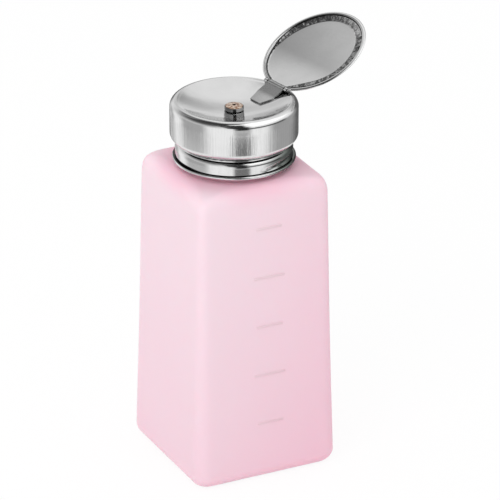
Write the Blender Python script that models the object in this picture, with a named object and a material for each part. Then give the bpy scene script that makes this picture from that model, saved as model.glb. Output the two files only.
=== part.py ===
"""Nail polish remover pump: a square bottle with a push-down steel dish and a hinged lid.

Pressing the dish drives a plunger down a barrel in the neck.  Two ball valves pass the liquid up the dip
tube and out of the nozzle in the middle of the dish.  Lengths are in metres and +Z is up.  The origin is
the middle of the bottle's base, on the pump's axis.  The lid is open, as in use.
"""

import math

import bmesh
import bpy
from mathutils import Matrix, Vector

MM = 0.001

# Bottle: a tapered square body, a full shoulder and a round neck.
BASE_HALF_WIDTH = 27.8 * MM
TOP_HALF_WIDTH = 25.2 * MM
BODY_HEIGHT = 104.0 * MM
WALL_HOLLOW = 0.15 * MM
CORNER_RADIUS = 3.5 * MM
FOOT_RADIUS = 5.2 * MM
SHOULDER_RISE = 8.2 * MM
BOTTLE_WALL = 1.2 * MM
BASE_THICKNESS = 1.6 * MM
NECK_RADIUS = 17.45 * MM
NECK_ROOT_FILLET = 0.75 * MM
NECK_WALL = 1.9 * MM
NECK_HEIGHT = 9.0 * MM
MOUTH_ROUND = 0.4 * MM

# Clearances.
SEAT_GAP = 0.25 * MM
BORE_CLEARANCE = 0.25 * MM
PIN_CLEARANCE = 0.15 * MM
KNUCKLE_CLEARANCE = 0.3 * MM
RETAINING_CLEARANCE = 0.3 * MM
STROKE_CLEARANCE = 0.4 * MM
CUT_OVERRUN = 1.0 * MM
MERGE_DISTANCE = 0.001 * MM

# Gasket and screw collar.
GASKET_THICKNESS = 1.0 * MM
COLLAR_THREAD_ROOM = 3.05 * MM
COLLAR_SHEET = 0.5 * MM
COLLAR_HEIGHT = 10.55 * MM
DECK_HOLE_RADIUS = 12.0 * MM
RETAINING_BEAD_RADIUS = 1.1 * MM
FOOT_BEAD_RADIUS = 0.9 * MM
FOOT_BEAD_REACH = 1.5 * MM
FLARE_HEIGHT = 0.9 * MM

# Press cap: dish, rolled rim, skirt and crimped lip in one drawn shell.
CAP_REACH_OVER_COLLAR = 2.0 * MM
CAP_HEIGHT = 14.13 * MM
CAP_SHEET = 0.5 * MM
RIM_RADIUS = 1.8 * MM
RIM_STEP_WIDTH = 0.3 * MM
RIM_STEP_DEPTH = 0.38 * MM
DISH_DEPTH = 3.98 * MM
DISH_FLAT_RADIUS = 4.4 * MM
CRIMP_WIDTH = 1.65 * MM
CRIMP_HEIGHT = 2.4 * MM
PRESS_STROKE = 5.0 * MM

# Plunger: stem, dish washer, clamp nut, piston and its cup seal.
STEM_RADIUS = 2.5 * MM
STEM_BORE_RADIUS = 1.0 * MM
STEM_FLANGE_RADIUS = 3.6 * MM
STEM_FLANGE_THICKNESS = 0.8 * MM
WASHER_RADIUS = 4.2 * MM
WASHER_THICKNESS = 0.8 * MM
NUT_RADIUS = 4.6 * MM
NUT_THICKNESS = 2.2 * MM
NUT_CHAMFER = 0.3 * MM
PISTON_HEIGHT = 4.0 * MM
PISTON_LAND = 1.0 * MM
SEAL_WIDTH = 1.2 * MM
SEAL_FLARE = 0.35 * MM

# Nozzle button in the dish.
NOZZLE_RADIUS = 3.4 * MM
NOZZLE_HEIGHT = 1.3 * MM
NOZZLE_ROUND = 0.3 * MM
NOZZLE_HOLE_RADIUS = 0.5 * MM
INSERT_THICKNESS = 0.6 * MM
INSERT_CROWN = 0.25 * MM
STEM_TOP_ABOVE_DISH = 0.9 * MM

# Outlet valve in the top of the stem.
OUTLET_CHAMBER_RADIUS = 1.7 * MM
OUTLET_BALL_RADIUS = 1.3 * MM
OUTLET_LIFT = 0.8 * MM
OUTLET_SPRING_SHUT_LENGTH = 1.0 * MM
OUTLET_SPRING_RADIUS = 1.1 * MM
OUTLET_WIRE_RADIUS = 0.12 * MM

# Barrel, guide bush and return spring.
BARREL_BORE_RADIUS = 5.6 * MM
BARREL_WALL = 1.5 * MM
FLANGE_THICKNESS = 1.2 * MM
SPIGOT_DEPTH = 3.0 * MM
SPIGOT_WALL = 1.2 * MM
BUSH_FLANGE_WIDTH = 0.9 * MM
BUSH_FLANGE_THICKNESS = 1.0 * MM
BUSH_LENGTH = 3.2 * MM
SPRING_LENGTH = 13.5 * MM
SPRING_RADIUS = 4.5 * MM
SPRING_WIRE_RADIUS = 0.45 * MM
SPRING_SEAT_THICKNESS = 0.6 * MM

# Foot valve, its cage and ball, and the dip tube.
CAGE_THICKNESS = 0.8 * MM
CAGE_HOLE_RADIUS = 0.9 * MM
CAGE_HOLE_CIRCLE_RADIUS = 2.4 * MM
INLET_CHAMBER_RADIUS = 2.7 * MM
INLET_BALL_RADIUS = 2.0 * MM
INLET_SEAT_RADIUS = 1.5 * MM
INLET_LIFT = 1.2 * MM
VALVE_FLANGE_THICKNESS = 1.8 * MM
VALVE_SPIGOT_HEIGHT = 3.9 * MM
SOCKET_WALL = 1.4 * MM
SOCKET_DEPTH = 6.0 * MM
DIP_TUBE_RADIUS = 2.5 * MM
DIP_TUBE_WALL = 0.8 * MM
DIP_TUBE_FLOOR_GAP = 3.0 * MM

# Lid hinge, with its pin lying across the dish's rim.
HINGE_ANGLE = math.radians(10.8)
HINGE_INSET = 3.8 * MM
HINGE_HEIGHT_OVER_RIM = 0.47 * MM
PIN_RADIUS = 0.4 * MM
PIN_HEAD_RADIUS = 0.65 * MM
PIN_HEAD_THICKNESS = 0.3 * MM
KNUCKLE_WALL = 0.3 * MM
BRACKET_WIDTH = 9.0 * MM
BRACKET_SHEET = 0.6 * MM
BRACKET_FOOT_LENGTH = 4.6 * MM
BRACKET_RAMP_RUN = 5.0 * MM
LID_EAR_WIDTH = 1.3 * MM

# Lid: a shallow pan with a rolled lip, drawn down to the pin at the hinge.
LID_OPENING = math.radians(151.45)
LID_INSET = 3.05 * MM
LID_SHEET = 0.5 * MM
LID_LIP_RADIUS = 0.45 * MM
LID_DEPTH = 0.9 * MM
LID_CROWN = 0.25 * MM
LID_DRAW_LENGTH = 4.2 * MM
LID_EDGE_FROM_PIN = 1.2 * MM
LID_LIP_OVER_PIN = 0.05 * MM

# Shape values with no unit.
CRIMP_BEND = math.radians(60)
CRIMP_STEPS = 3
BRACKET_TIP_SHARE = 0.6
INSERT_RING_SHARES = (0.3, 0.6, 0.85, 1.0)
LID_PANEL_SHARES = (0.0, 0.4, 0.62, 0.76, 0.88, 0.96)
LID_WALL_SHARE = 0.155
LID_WALL_SHARES = ((0.25, 0.93), (0.6, 0.55))
LID_LEAN_SHARES = (0.0, 0.0, 0.0, 0.0, 0.0, 0.4, 1.0, 1.0)
SHOULDER_POWER = 2.64
SHOULDER_CORNER_POWER = 2.77
SPRING_TURNS = 5.5
OUTLET_SPRING_TURNS = 2.4
CAGE_HOLES = 4

# Facets.
CORNER_STEPS = 9
OUTER_STEPS = (4, 5, 7)
INNER_STEPS = (2, 3, 5)
SHELL_SEGMENTS = 44
TUBE_SEGMENTS = 22
SMALL_SEGMENTS = 20
PIN_SEGMENTS = 16
COIL_POINTS = 8
DISH_STEPS = 4

# The collar fits the neck, and the cap, its hinge and the lid fit the collar.
COLLAR_RADIUS = NECK_RADIUS + COLLAR_THREAD_ROOM
CAP_RADIUS = COLLAR_RADIUS + CAP_REACH_OVER_COLLAR
HINGE_RADIUS = CAP_RADIUS - HINGE_INSET
LID_RADIUS = CAP_RADIUS - LID_INSET
LID_WALL_WIDTH = LID_RADIUS * LID_WALL_SHARE

# Heights, worked up from the base to the dish.
Z_SHOULDER_TOP = BODY_HEIGHT + SHOULDER_RISE
Z_MOUTH = Z_SHOULDER_TOP + NECK_HEIGHT
Z_GASKET = Z_MOUTH + SEAT_GAP
Z_FLANGE = Z_GASKET + GASKET_THICKNESS + SEAT_GAP
Z_DECK = Z_FLANGE + FLANGE_THICKNESS + SEAT_GAP
Z_DECK_TOP = Z_DECK + COLLAR_SHEET
Z_COLLAR_FOOT = Z_DECK_TOP - COLLAR_HEIGHT


def crimp_points():
    """Points (radius, height over the lip) down the crimp's outer face, from the skirt to the lip."""
    points = []
    for i in range(CRIMP_STEPS + 1):
        angle = CRIMP_BEND * i / CRIMP_STEPS
        inward = (1 - math.cos(angle)) / (1 - math.cos(CRIMP_BEND))
        down = math.sin(angle) / math.sin(CRIMP_BEND)
        points.append((CAP_RADIUS - CRIMP_WIDTH * inward, CRIMP_HEIGHT * (1 - down)))
    return points


def lip_slope():
    """Unit direction (inwards, down) of the crimp's last stretch."""
    (outer, high), (inner, low) = crimp_points()[-2:]
    length = math.hypot(outer - inner, high - low)
    return (outer - inner) / length, (high - low) / length


LIP_EDGE_HEIGHT = CAP_SHEET / lip_slope()[0]
LIP_RADIUS = CAP_RADIUS - CRIMP_WIDTH
RETAINING_BEAD_CENTRE = CAP_RADIUS - CAP_SHEET - STROKE_CLEARANCE - RETAINING_BEAD_RADIUS
Z_RETAINING_BEAD = Z_DECK_TOP - RETAINING_BEAD_RADIUS


def lip_height():
    """Height of the cap's lip that leaves the retaining clearance under the collar's bead."""
    inward, down = lip_slope()
    reach = RETAINING_BEAD_RADIUS + RETAINING_CLEARANCE + down * (RETAINING_BEAD_CENTRE - LIP_RADIUS)
    return Z_RETAINING_BEAD - reach / inward - LIP_EDGE_HEIGHT


Z_LIP = lip_height()
Z_RIM = Z_LIP + CAP_HEIGHT
DISH_RADIUS = CAP_RADIUS - RIM_RADIUS - RIM_STEP_WIDTH
Z_DISH = Z_RIM - DISH_DEPTH
DISH_RISE = DISH_DEPTH - RIM_STEP_DEPTH

# Heights, worked down from the dish to the dip tube.
Z_WASHER_TOP = Z_DISH - CAP_SHEET - SEAT_GAP
Z_NUT_TOP = Z_WASHER_TOP - WASHER_THICKNESS - SEAT_GAP
Z_NUT = Z_NUT_TOP - NUT_THICKNESS
Z_BUSH_TOP = Z_NUT - PRESS_STROKE - STROKE_CLEARANCE
Z_BARREL_STEP = Z_BUSH_TOP - BUSH_FLANGE_THICKNESS - SEAT_GAP
Z_BUSH_END = Z_BARREL_STEP - BUSH_LENGTH
Z_PISTON_TOP = Z_BUSH_END - STROKE_CLEARANCE
Z_PISTON = Z_PISTON_TOP - PISTON_HEIGHT
Z_STEM_FLANGE_TOP = Z_PISTON - SEAT_GAP
Z_STEM_END = Z_STEM_FLANGE_TOP - STEM_FLANGE_THICKNESS
Z_SPRING_SEAT_TOP = Z_STEM_END - SEAT_GAP
Z_SPRING_SEAT = Z_SPRING_SEAT_TOP - SPRING_SEAT_THICKNESS
Z_SPRING_TOP = Z_SPRING_SEAT - SEAT_GAP
Z_SPRING = Z_SPRING_TOP - SPRING_LENGTH
Z_CAGE_TOP = Z_SPRING - SEAT_GAP
Z_CAGE = Z_CAGE_TOP - CAGE_THICKNESS
Z_VALVE_TOP = Z_CAGE - SEAT_GAP
Z_BARREL_END = Z_VALVE_TOP - VALVE_SPIGOT_HEIGHT
Z_VALVE_FLANGE_TOP = Z_BARREL_END - SEAT_GAP
Z_VALVE_FLANGE = Z_VALVE_FLANGE_TOP - VALVE_FLANGE_THICKNESS
Z_SOCKET_END = Z_VALVE_FLANGE - SOCKET_DEPTH
Z_DIP_TUBE_TOP = Z_VALVE_FLANGE - SEAT_GAP
Z_DIP_TUBE_END = BASE_THICKNESS + DIP_TUBE_FLOOR_GAP

OUTLET_SPRING_LENGTH = OUTLET_LIFT + OUTLET_SPRING_SHUT_LENGTH
STEM_HOLE_RADIUS = STEM_RADIUS + BORE_CLEARANCE
NECK_BORE_RADIUS = NECK_RADIUS - NECK_WALL
SPIGOT_RADIUS = NECK_BORE_RADIUS - 2 * BORE_CLEARANCE
Z_STEM_TOP = Z_DISH + STEM_TOP_ABOVE_DISH
KNUCKLE_BORE_RADIUS = PIN_RADIUS + PIN_CLEARANCE
KNUCKLE_RADIUS = KNUCKLE_BORE_RADIUS + KNUCKLE_WALL
EAR_START = BRACKET_WIDTH / 2 + KNUCKLE_CLEARANCE
EAR_END = EAR_START + LID_EAR_WIDTH
PIN_HEAD_START = EAR_END + KNUCKLE_CLEARANCE
PIN_END = PIN_HEAD_START + PIN_HEAD_THICKNESS
Z_HINGE = Z_RIM + HINGE_HEIGHT_OVER_RIM


def clear_scene():
    """Removes what a new file holds."""
    for item in list(bpy.data.objects):
        bpy.data.objects.remove(item, do_unlink=True)


def finish(name, colour, roughness, metallic=0.0, coat=0.0):
    """A material with one plain surface."""
    material = bpy.data.materials.new(name)
    material.use_nodes = True
    surface = material.node_tree.nodes["Principled BSDF"]
    surface.inputs["Base Color"].default_value = (*colour, 1.0)
    surface.inputs["Roughness"].default_value = roughness
    surface.inputs["Metallic"].default_value = metallic
    surface.inputs["Coat Weight"].default_value = coat
    material.diffuse_color = (*colour, 1.0)
    return material


def place(name, mesh, material, parent=None, location=(0.0, 0.0, 0.0)):
    """Adds a mesh or curve to the scene as one named piece."""
    mesh.materials.append(material)
    piece = bpy.data.objects.new(name, mesh)
    bpy.context.collection.objects.link(piece)
    piece.parent = parent
    piece.location = location
    if isinstance(mesh, bpy.types.Mesh):
        mesh.shade_smooth()
        mesh.set_sharp_from_angle(angle=math.radians(40))
    return piece


def empty(name, location, turn=(0.0, 0.0, 0.0), parent=None):
    """Adds a joint's empty, on its axis."""
    joint = bpy.data.objects.new(name, None)
    bpy.context.collection.objects.link(joint)
    joint.parent = parent
    joint.location = location
    joint.rotation_euler = turn
    return joint


def to_mesh(name, bm):
    """Turns a closed bmesh into a mesh with its faces pointing out."""
    bmesh.ops.recalc_face_normals(bm, faces=bm.faces)
    mesh = bpy.data.meshes.new(name)
    bm.to_mesh(mesh)
    bm.free()
    return mesh


def arc(centre, radius, start, end, steps):
    """Points (radius, height) along an arc, with the angles in degrees."""
    turns = [math.radians(start + (end - start) * i / steps) for i in range(steps + 1)]
    return [(centre[0] + radius * math.cos(a), centre[1] + radius * math.sin(a)) for a in turns]


def sheet_outline(path, thickness):
    """Closes an open path into a sheet, offset by its thickness to the right of its direction."""
    offset = []
    for i, point in enumerate(path):
        before = Vector(path[max(i - 1, 0)])
        after = Vector(path[min(i + 1, len(path) - 1)])
        here = Vector(point)
        first = (here - before).normalized() if i else (after - here).normalized()
        second = (after - here).normalized() if i < len(path) - 1 else first
        right = Vector((first.y + second.y, -first.x - second.x)).normalized()
        mitre = right.dot(Vector((first.y, -first.x)))
        offset.append(tuple(here + right * thickness / mitre))
    return path + offset[::-1]


def revolve(name, outline, segments):
    """Spins a closed outline of (radius, height) points round the Z axis into one solid."""
    bm = bmesh.new()
    verts = [bm.verts.new((radius, 0.0, height)) for radius, height in outline]
    pairs = zip(range(len(verts)), [*range(1, len(verts)), 0])
    on_axis = [radius == 0.0 for radius, height in outline]
    edges = [bm.edges.new((verts[a], verts[b])) for a, b in pairs if not (on_axis[a] and on_axis[b])]
    bmesh.ops.spin(bm, geom=verts + edges, cent=(0, 0, 0), axis=(0, 0, 1), angle=math.tau,
                   steps=segments, use_merge=True)
    bmesh.ops.remove_doubles(bm, verts=bm.verts, dist=MERGE_DISTANCE)
    return to_mesh(name, bm)


def extrude_outline(name, outline, width):
    """Extrudes a closed outline of (x, z) points along Y, centred on it."""
    bm = bmesh.new()
    face = bm.faces.new([bm.verts.new((x, -width / 2, z)) for x, z in outline])
    made = bmesh.ops.extrude_face_region(bm, geom=[face])
    moved = [item for item in made["geom"] if isinstance(item, bmesh.types.BMVert)]
    bmesh.ops.translate(bm, verts=moved, vec=(0, width, 0))
    return to_mesh(name, bm)


def cylinder_along_y(name, radius, start, end, segments):
    """A cylinder on the Y axis, from one place to another."""
    bm = bmesh.new()
    turn = Matrix.Rotation(math.pi / 2, 4, "X")
    middle = Matrix.Translation((0, (start + end) / 2, 0))
    bmesh.ops.create_cone(bm, cap_ends=True, segments=segments, radius1=radius, radius2=radius,
                          depth=end - start, matrix=middle @ turn)
    return to_mesh(name, bm)


def box(name, low, high):
    """A box between two corners."""
    bm = bmesh.new()
    size = Vector(high) - Vector(low)
    middle = (Vector(high) + Vector(low)) / 2
    bmesh.ops.create_cube(bm, size=1.0, matrix=Matrix.Translation(middle) @ Matrix.Diagonal((*size, 1)))
    return to_mesh(name, bm)


def combine(piece, mesh, operation):
    """Adds or cuts a shape, given in the piece's own space, with a Boolean modifier."""
    tool = bpy.data.objects.new(f"{piece.name}_{operation.lower()}_{len(piece.modifiers)}", mesh)
    bpy.context.collection.objects.link(tool)
    tool.parent = piece
    tool.hide_render = True
    tool.display_type = "WIRE"
    cut = piece.modifiers.new(tool.name, "BOOLEAN")
    cut.operation = operation
    cut.object = tool
    cut.solver = "EXACT"


def helix(name, radius, wire, bottom, top, turns):
    """An even coil of round wire standing on the Z axis, with the least gap between its turns."""
    curve = bpy.data.curves.new(name, "CURVE")
    curve.dimensions = "3D"
    curve.bevel_depth = wire
    curve.bevel_resolution = 1
    curve.use_fill_caps = True
    count = round(turns * COIL_POINTS) + 1
    rise = (top - bottom - 2 * wire) / (count - 1)
    points = []
    for i in range(count):
        angle = math.tau * i / COIL_POINTS
        points.append(Vector((radius * math.cos(angle), radius * math.sin(angle), bottom + wire + rise * i)))
    spline = curve.splines.new("POLY")
    spline.points.add(count - 1)
    for target, point in zip(spline.points, points):
        target.co = (*point, 1.0)
    half_turn = COIL_POINTS // 2
    gap = min((a - b).length for i, a in enumerate(points) for b in points[i + half_turn:]) - 2 * wire
    print(f"{name}: least gap between turns {gap / MM:.2f} mm")
    return curve


def ball(name, radius, material, parent, centre):
    """A valve ball."""
    bm = bmesh.new()
    bmesh.ops.create_uvsphere(bm, u_segments=12, v_segments=8, radius=radius)
    return place(name, to_mesh(name, bm), material, parent, centre)


def seated_height(ball_radius, seat_radius):
    """How far a ball's centre stands above the round edge that it closes."""
    return math.sqrt((ball_radius + SEAT_GAP) ** 2 - seat_radius**2)


def dish_height(radius):
    """Height of the dish's upper face at a radius."""
    share = max(radius - DISH_FLAT_RADIUS, 0.0) / (DISH_RADIUS - DISH_FLAT_RADIUS)
    flat_share = DISH_FLAT_RADIUS / DISH_RADIUS
    return Z_DISH + DISH_RISE * (share**2 * (1 - flat_share) + share * flat_share)


def square_ring(half_width, corner, height):
    """Points round a square with rounded corners; the corner radius may be the half width."""
    ring = []
    for quarter in range(4):
        turn = quarter * math.pi / 2
        across = Vector((half_width - corner, half_width - corner))
        across.rotate(Matrix.Rotation(turn, 2))
        for i in range(CORNER_STEPS + 1):
            angle = turn + i / CORNER_STEPS * math.pi / 2
            ring.append((across.x + corner * math.cos(angle), across.y + corner * math.sin(angle), height))
    return ring


def wall_half_width(height):
    """Half width of the body's outer wall, with the slight hollow of a blown bottle."""
    share = min(height / BODY_HEIGHT, 1.0)
    sag = WALL_HOLLOW * math.sin(math.pi * share) ** 2
    return BASE_HALF_WIDTH + (TOP_HALF_WIDTH - BASE_HALF_WIDTH) * share - sag


def body_rings(inset, floor, neck, shoulder_top, steps):
    """Rings of the body from foot to neck, moved in by an inset for the inner wall."""
    foot_steps, wall_steps, shoulder_steps = steps
    foot = FOOT_RADIUS - inset
    corner = CORNER_RADIUS - inset
    rings = []
    for i in range(foot_steps + 1):
        angle = i / foot_steps * math.pi / 2
        height = floor + foot * (1 - math.cos(angle))
        pull = foot * (1 - math.sin(angle))
        half = wall_half_width(height) - inset - pull
        rings.append(square_ring(half, max(corner, foot) - pull / 2, height))
    start = floor + foot
    for i in range(1, wall_steps + 1):
        height = start + (BODY_HEIGHT - start) * i / wall_steps
        side = max(corner, foot) + (corner - max(corner, foot)) * i / wall_steps
        rings.append(square_ring(wall_half_width(height) - inset, side, height))
    side = TOP_HALF_WIDTH - inset
    rise = shoulder_top - BODY_HEIGHT
    for i in range(1, shoulder_steps + 1):
        angle = i / shoulder_steps * math.pi / 2
        share = 1 - math.cos(angle) ** (2 / SHOULDER_POWER)
        half = side + (neck - side) * share
        round_off = corner + (half - corner) * share**SHOULDER_CORNER_POWER
        climb = rise * math.sin(angle) ** (2 / SHOULDER_POWER)
        rings.append(square_ring(half, round_off, BODY_HEIGHT + climb))
    return rings


def circle_ring(radius, height):
    """A round ring with as many points as the body's."""
    return square_ring(radius, radius, height)


def loft(name, rings):
    """Joins rings of equal count into one solid, closed by its first and last ring."""
    bm = bmesh.new()
    loops = [[bm.verts.new(point) for point in ring] for ring in rings]
    for lower, upper in zip(loops, loops[1:]):
        count = len(lower)
        for i in range(count):
            bm.faces.new((lower[i], lower[(i + 1) % count], upper[(i + 1) % count], upper[i]))
    bm.faces.new(loops[0][::-1])
    bm.faces.new(loops[-1])
    return to_mesh(name, bm)


def make_bottle(material):
    """The blown bottle: its outer wall up to the mouth, then its inner wall down to the floor."""
    outer = body_rings(0.0, 0.0, NECK_RADIUS + NECK_ROOT_FILLET, Z_SHOULDER_TOP, OUTER_STEPS)
    fillet = (NECK_RADIUS + NECK_ROOT_FILLET, Z_SHOULDER_TOP + NECK_ROOT_FILLET)
    neck = arc(fillet, NECK_ROOT_FILLET, 225, 180, 2)
    neck += arc((NECK_RADIUS - MOUTH_ROUND, Z_MOUTH - MOUTH_ROUND), MOUTH_ROUND, 0, 90, 2)
    neck += arc((NECK_BORE_RADIUS + MOUTH_ROUND, Z_MOUTH - MOUTH_ROUND), MOUTH_ROUND, 90, 180, 2)
    ceiling = Z_SHOULDER_TOP - BOTTLE_WALL
    inner = body_rings(BOTTLE_WALL, BASE_THICKNESS, NECK_BORE_RADIUS, ceiling, INNER_STEPS)
    rings = outer + [circle_ring(radius, height) for radius, height in neck] + inner[::-1]
    return place("bottle", loft("bottle", rings), material)


def make_gasket(material):
    """A flat ring on the bottle's mouth, held on the barrel's spigot."""
    inner = SPIGOT_RADIUS + BORE_CLEARANCE
    outline = rectangle(inner, NECK_RADIUS, Z_GASKET, Z_GASKET + GASKET_THICKNESS)
    return place("sealing_gasket", revolve("sealing_gasket", outline, SHELL_SEGMENTS), material)


def rectangle(inner, outer, bottom, top):
    """A plain ring's outline."""
    return [(inner, top), (outer, top), (outer, bottom), (inner, bottom)]


def make_collar(material):
    """The screw collar: deck, retaining bead, skirt and the bead rolled at its foot."""
    inside = COLLAR_RADIUS - COLLAR_SHEET
    foot_bead = (COLLAR_RADIUS + FOOT_BEAD_REACH - FOOT_BEAD_RADIUS, Z_COLLAR_FOOT + FOOT_BEAD_RADIUS)
    bead_top = foot_bead[1] + FOOT_BEAD_RADIUS
    outline = [(DECK_HOLE_RADIUS, Z_DECK), (DECK_HOLE_RADIUS, Z_DECK_TOP)]
    outline += arc((RETAINING_BEAD_CENTRE, Z_RETAINING_BEAD), RETAINING_BEAD_RADIUS, 90, -70, 5)
    outline += [(COLLAR_RADIUS, Z_RETAINING_BEAD - RETAINING_BEAD_RADIUS - COLLAR_SHEET)]
    outline += [(COLLAR_RADIUS, bead_top + FLARE_HEIGHT / 2)]
    outline += arc(foot_bead, FOOT_BEAD_RADIUS, 110, -90, 6)
    outline += [(inside, Z_COLLAR_FOOT), (inside, Z_DECK)]
    return place("screw_collar", revolve("screw_collar", outline, SHELL_SEGMENTS), material)


def make_cap(material, head):
    """The press cap, drawn from one sheet: dish, rolled rim, skirt and crimped lip."""
    span = DISH_RADIUS - DISH_FLAT_RADIUS
    path = [(STEM_HOLE_RADIUS, Z_DISH)]
    for i in range(DISH_STEPS + 1):
        radius = DISH_FLAT_RADIUS + span * i / DISH_STEPS
        path.append((radius, dish_height(radius)))
    path += arc((CAP_RADIUS - RIM_RADIUS, Z_RIM - RIM_RADIUS), RIM_RADIUS, 90, 0, 4)
    path += [(radius, Z_LIP + height) for radius, height in crimp_points()]
    outline = sheet_outline(path, CAP_SHEET)
    outline[len(path)] = (LIP_RADIUS, Z_LIP + LIP_EDGE_HEIGHT)
    return place("press_cap", revolve("press_cap", outline, SHELL_SEGMENTS), material, head)


def make_stem(material, head):
    """The plunger's stem: a headed tube with the outlet valve's chamber in its top."""
    seat = outlet_seat_height()
    outline = [
        (OUTLET_CHAMBER_RADIUS, Z_STEM_TOP), (STEM_RADIUS, Z_STEM_TOP), (STEM_RADIUS, Z_STEM_FLANGE_TOP),
        (STEM_FLANGE_RADIUS, Z_STEM_FLANGE_TOP), (STEM_FLANGE_RADIUS, Z_STEM_END),
        (STEM_BORE_RADIUS, Z_STEM_END), (STEM_BORE_RADIUS, seat), (OUTLET_CHAMBER_RADIUS, seat),
    ]
    return place("plunger_stem", revolve("plunger_stem", outline, SMALL_SEGMENTS), material, head)


def outlet_seat_height():
    """Height of the outlet valve's seat, with its ball and spring fitting under the stem's top."""
    raised = seated_height(OUTLET_BALL_RADIUS, STEM_BORE_RADIUS)
    return Z_STEM_TOP - OUTLET_SPRING_LENGTH - SEAT_GAP - OUTLET_BALL_RADIUS - raised


def make_outlet_valve(steel, head):
    """The ball and its light spring in the stem's chamber."""
    centre = outlet_seat_height() + seated_height(OUTLET_BALL_RADIUS, STEM_BORE_RADIUS)
    ball("outlet_ball", OUTLET_BALL_RADIUS, steel, head, (0, 0, centre))
    bottom = centre + OUTLET_BALL_RADIUS + SEAT_GAP
    coil = helix("outlet_spring", OUTLET_SPRING_RADIUS, OUTLET_WIRE_RADIUS, bottom,
                 bottom + OUTLET_SPRING_LENGTH, OUTLET_SPRING_TURNS)
    place("outlet_spring", coil, steel, head)


def make_clamp(washer_material, nut_material, head):
    """The washer and the hexagon nut that hold the dish on the stem."""
    washer = rectangle(STEM_HOLE_RADIUS, WASHER_RADIUS, Z_WASHER_TOP - WASHER_THICKNESS, Z_WASHER_TOP)
    place("dish_washer", revolve("dish_washer", washer, SMALL_SEGMENTS), washer_material, head)
    bm = bmesh.new()
    middle = Matrix.Translation((0, 0, Z_NUT + NUT_THICKNESS / 2))
    bmesh.ops.create_cone(bm, cap_ends=True, segments=6, radius1=NUT_RADIUS, radius2=NUT_RADIUS,
                          depth=NUT_THICKNESS, matrix=middle)
    rims = [edge for edge in bm.edges if abs(edge.verts[0].co.z - edge.verts[1].co.z) < NUT_CHAMFER]
    bmesh.ops.bevel(bm, geom=rims, offset=NUT_CHAMFER, segments=1, affect="EDGES", profile=0.5)
    nut = place("clamp_nut", to_mesh("clamp_nut", bm), nut_material, head)
    bore = rectangle(0.0, STEM_HOLE_RADIUS, Z_NUT - CUT_OVERRUN, Z_NUT_TOP + CUT_OVERRUN)
    combine(nut, revolve("clamp_nut_bore", bore, SMALL_SEGMENTS), "DIFFERENCE")


def make_piston(body_material, seal_material, head):
    """The piston, grooved for the cup seal that wipes the barrel."""
    outer = BARREL_BORE_RADIUS - 2 * BORE_CLEARANCE
    lip = BARREL_BORE_RADIUS - BORE_CLEARANCE
    floor = lip - SEAL_WIDTH
    groove = floor - BORE_CLEARANCE
    low = Z_PISTON + PISTON_LAND
    high = Z_PISTON_TOP - PISTON_LAND
    outline = [
        (STEM_HOLE_RADIUS, Z_PISTON), (outer, Z_PISTON), (outer, low), (groove, low), (groove, high),
        (outer, high), (outer, Z_PISTON_TOP), (STEM_HOLE_RADIUS, Z_PISTON_TOP),
    ]
    place("piston_head", revolve("piston_head", outline, TUBE_SEGMENTS), body_material, head)
    bottom = low + SEAT_GAP
    top = high - SEAT_GAP
    seal = [(floor, top), (lip - SEAL_FLARE, top), (lip, bottom + SEAL_FLARE), (lip, bottom), (floor, bottom)]
    place("piston_seal", revolve("piston_seal", seal, TUBE_SEGMENTS), seal_material, head)


def make_nozzle(steel, brass, head):
    """The button in the dish: a steel ring round a domed insert with the outlet hole."""
    bottom = Z_DISH + SEAT_GAP
    top = bottom + NOZZLE_HEIGHT
    ring = [(STEM_HOLE_RADIUS, bottom), (STEM_HOLE_RADIUS, top)]
    ring += arc((NOZZLE_RADIUS - NOZZLE_ROUND, top - NOZZLE_ROUND), NOZZLE_ROUND, 90, 0, 3)
    ring += [(NOZZLE_RADIUS, bottom)]
    place("nozzle_ring", revolve("nozzle_ring", ring, TUBE_SEGMENTS), steel, head)
    low = Z_STEM_TOP + SEAT_GAP
    edge = STEM_HOLE_RADIUS - BORE_CLEARANCE
    crown = low + INSERT_THICKNESS
    insert = [(NOZZLE_HOLE_RADIUS, low), (NOZZLE_HOLE_RADIUS, crown + INSERT_CROWN / 2)]
    for share in INSERT_RING_SHARES:
        radius = NOZZLE_HOLE_RADIUS + (edge - NOZZLE_HOLE_RADIUS) * share
        insert.append((radius, crown + INSERT_CROWN * (1 - share**2)))
    insert += [(edge, low)]
    place("nozzle_insert", revolve("nozzle_insert", insert, SMALL_SEGMENTS), brass, head)


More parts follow.
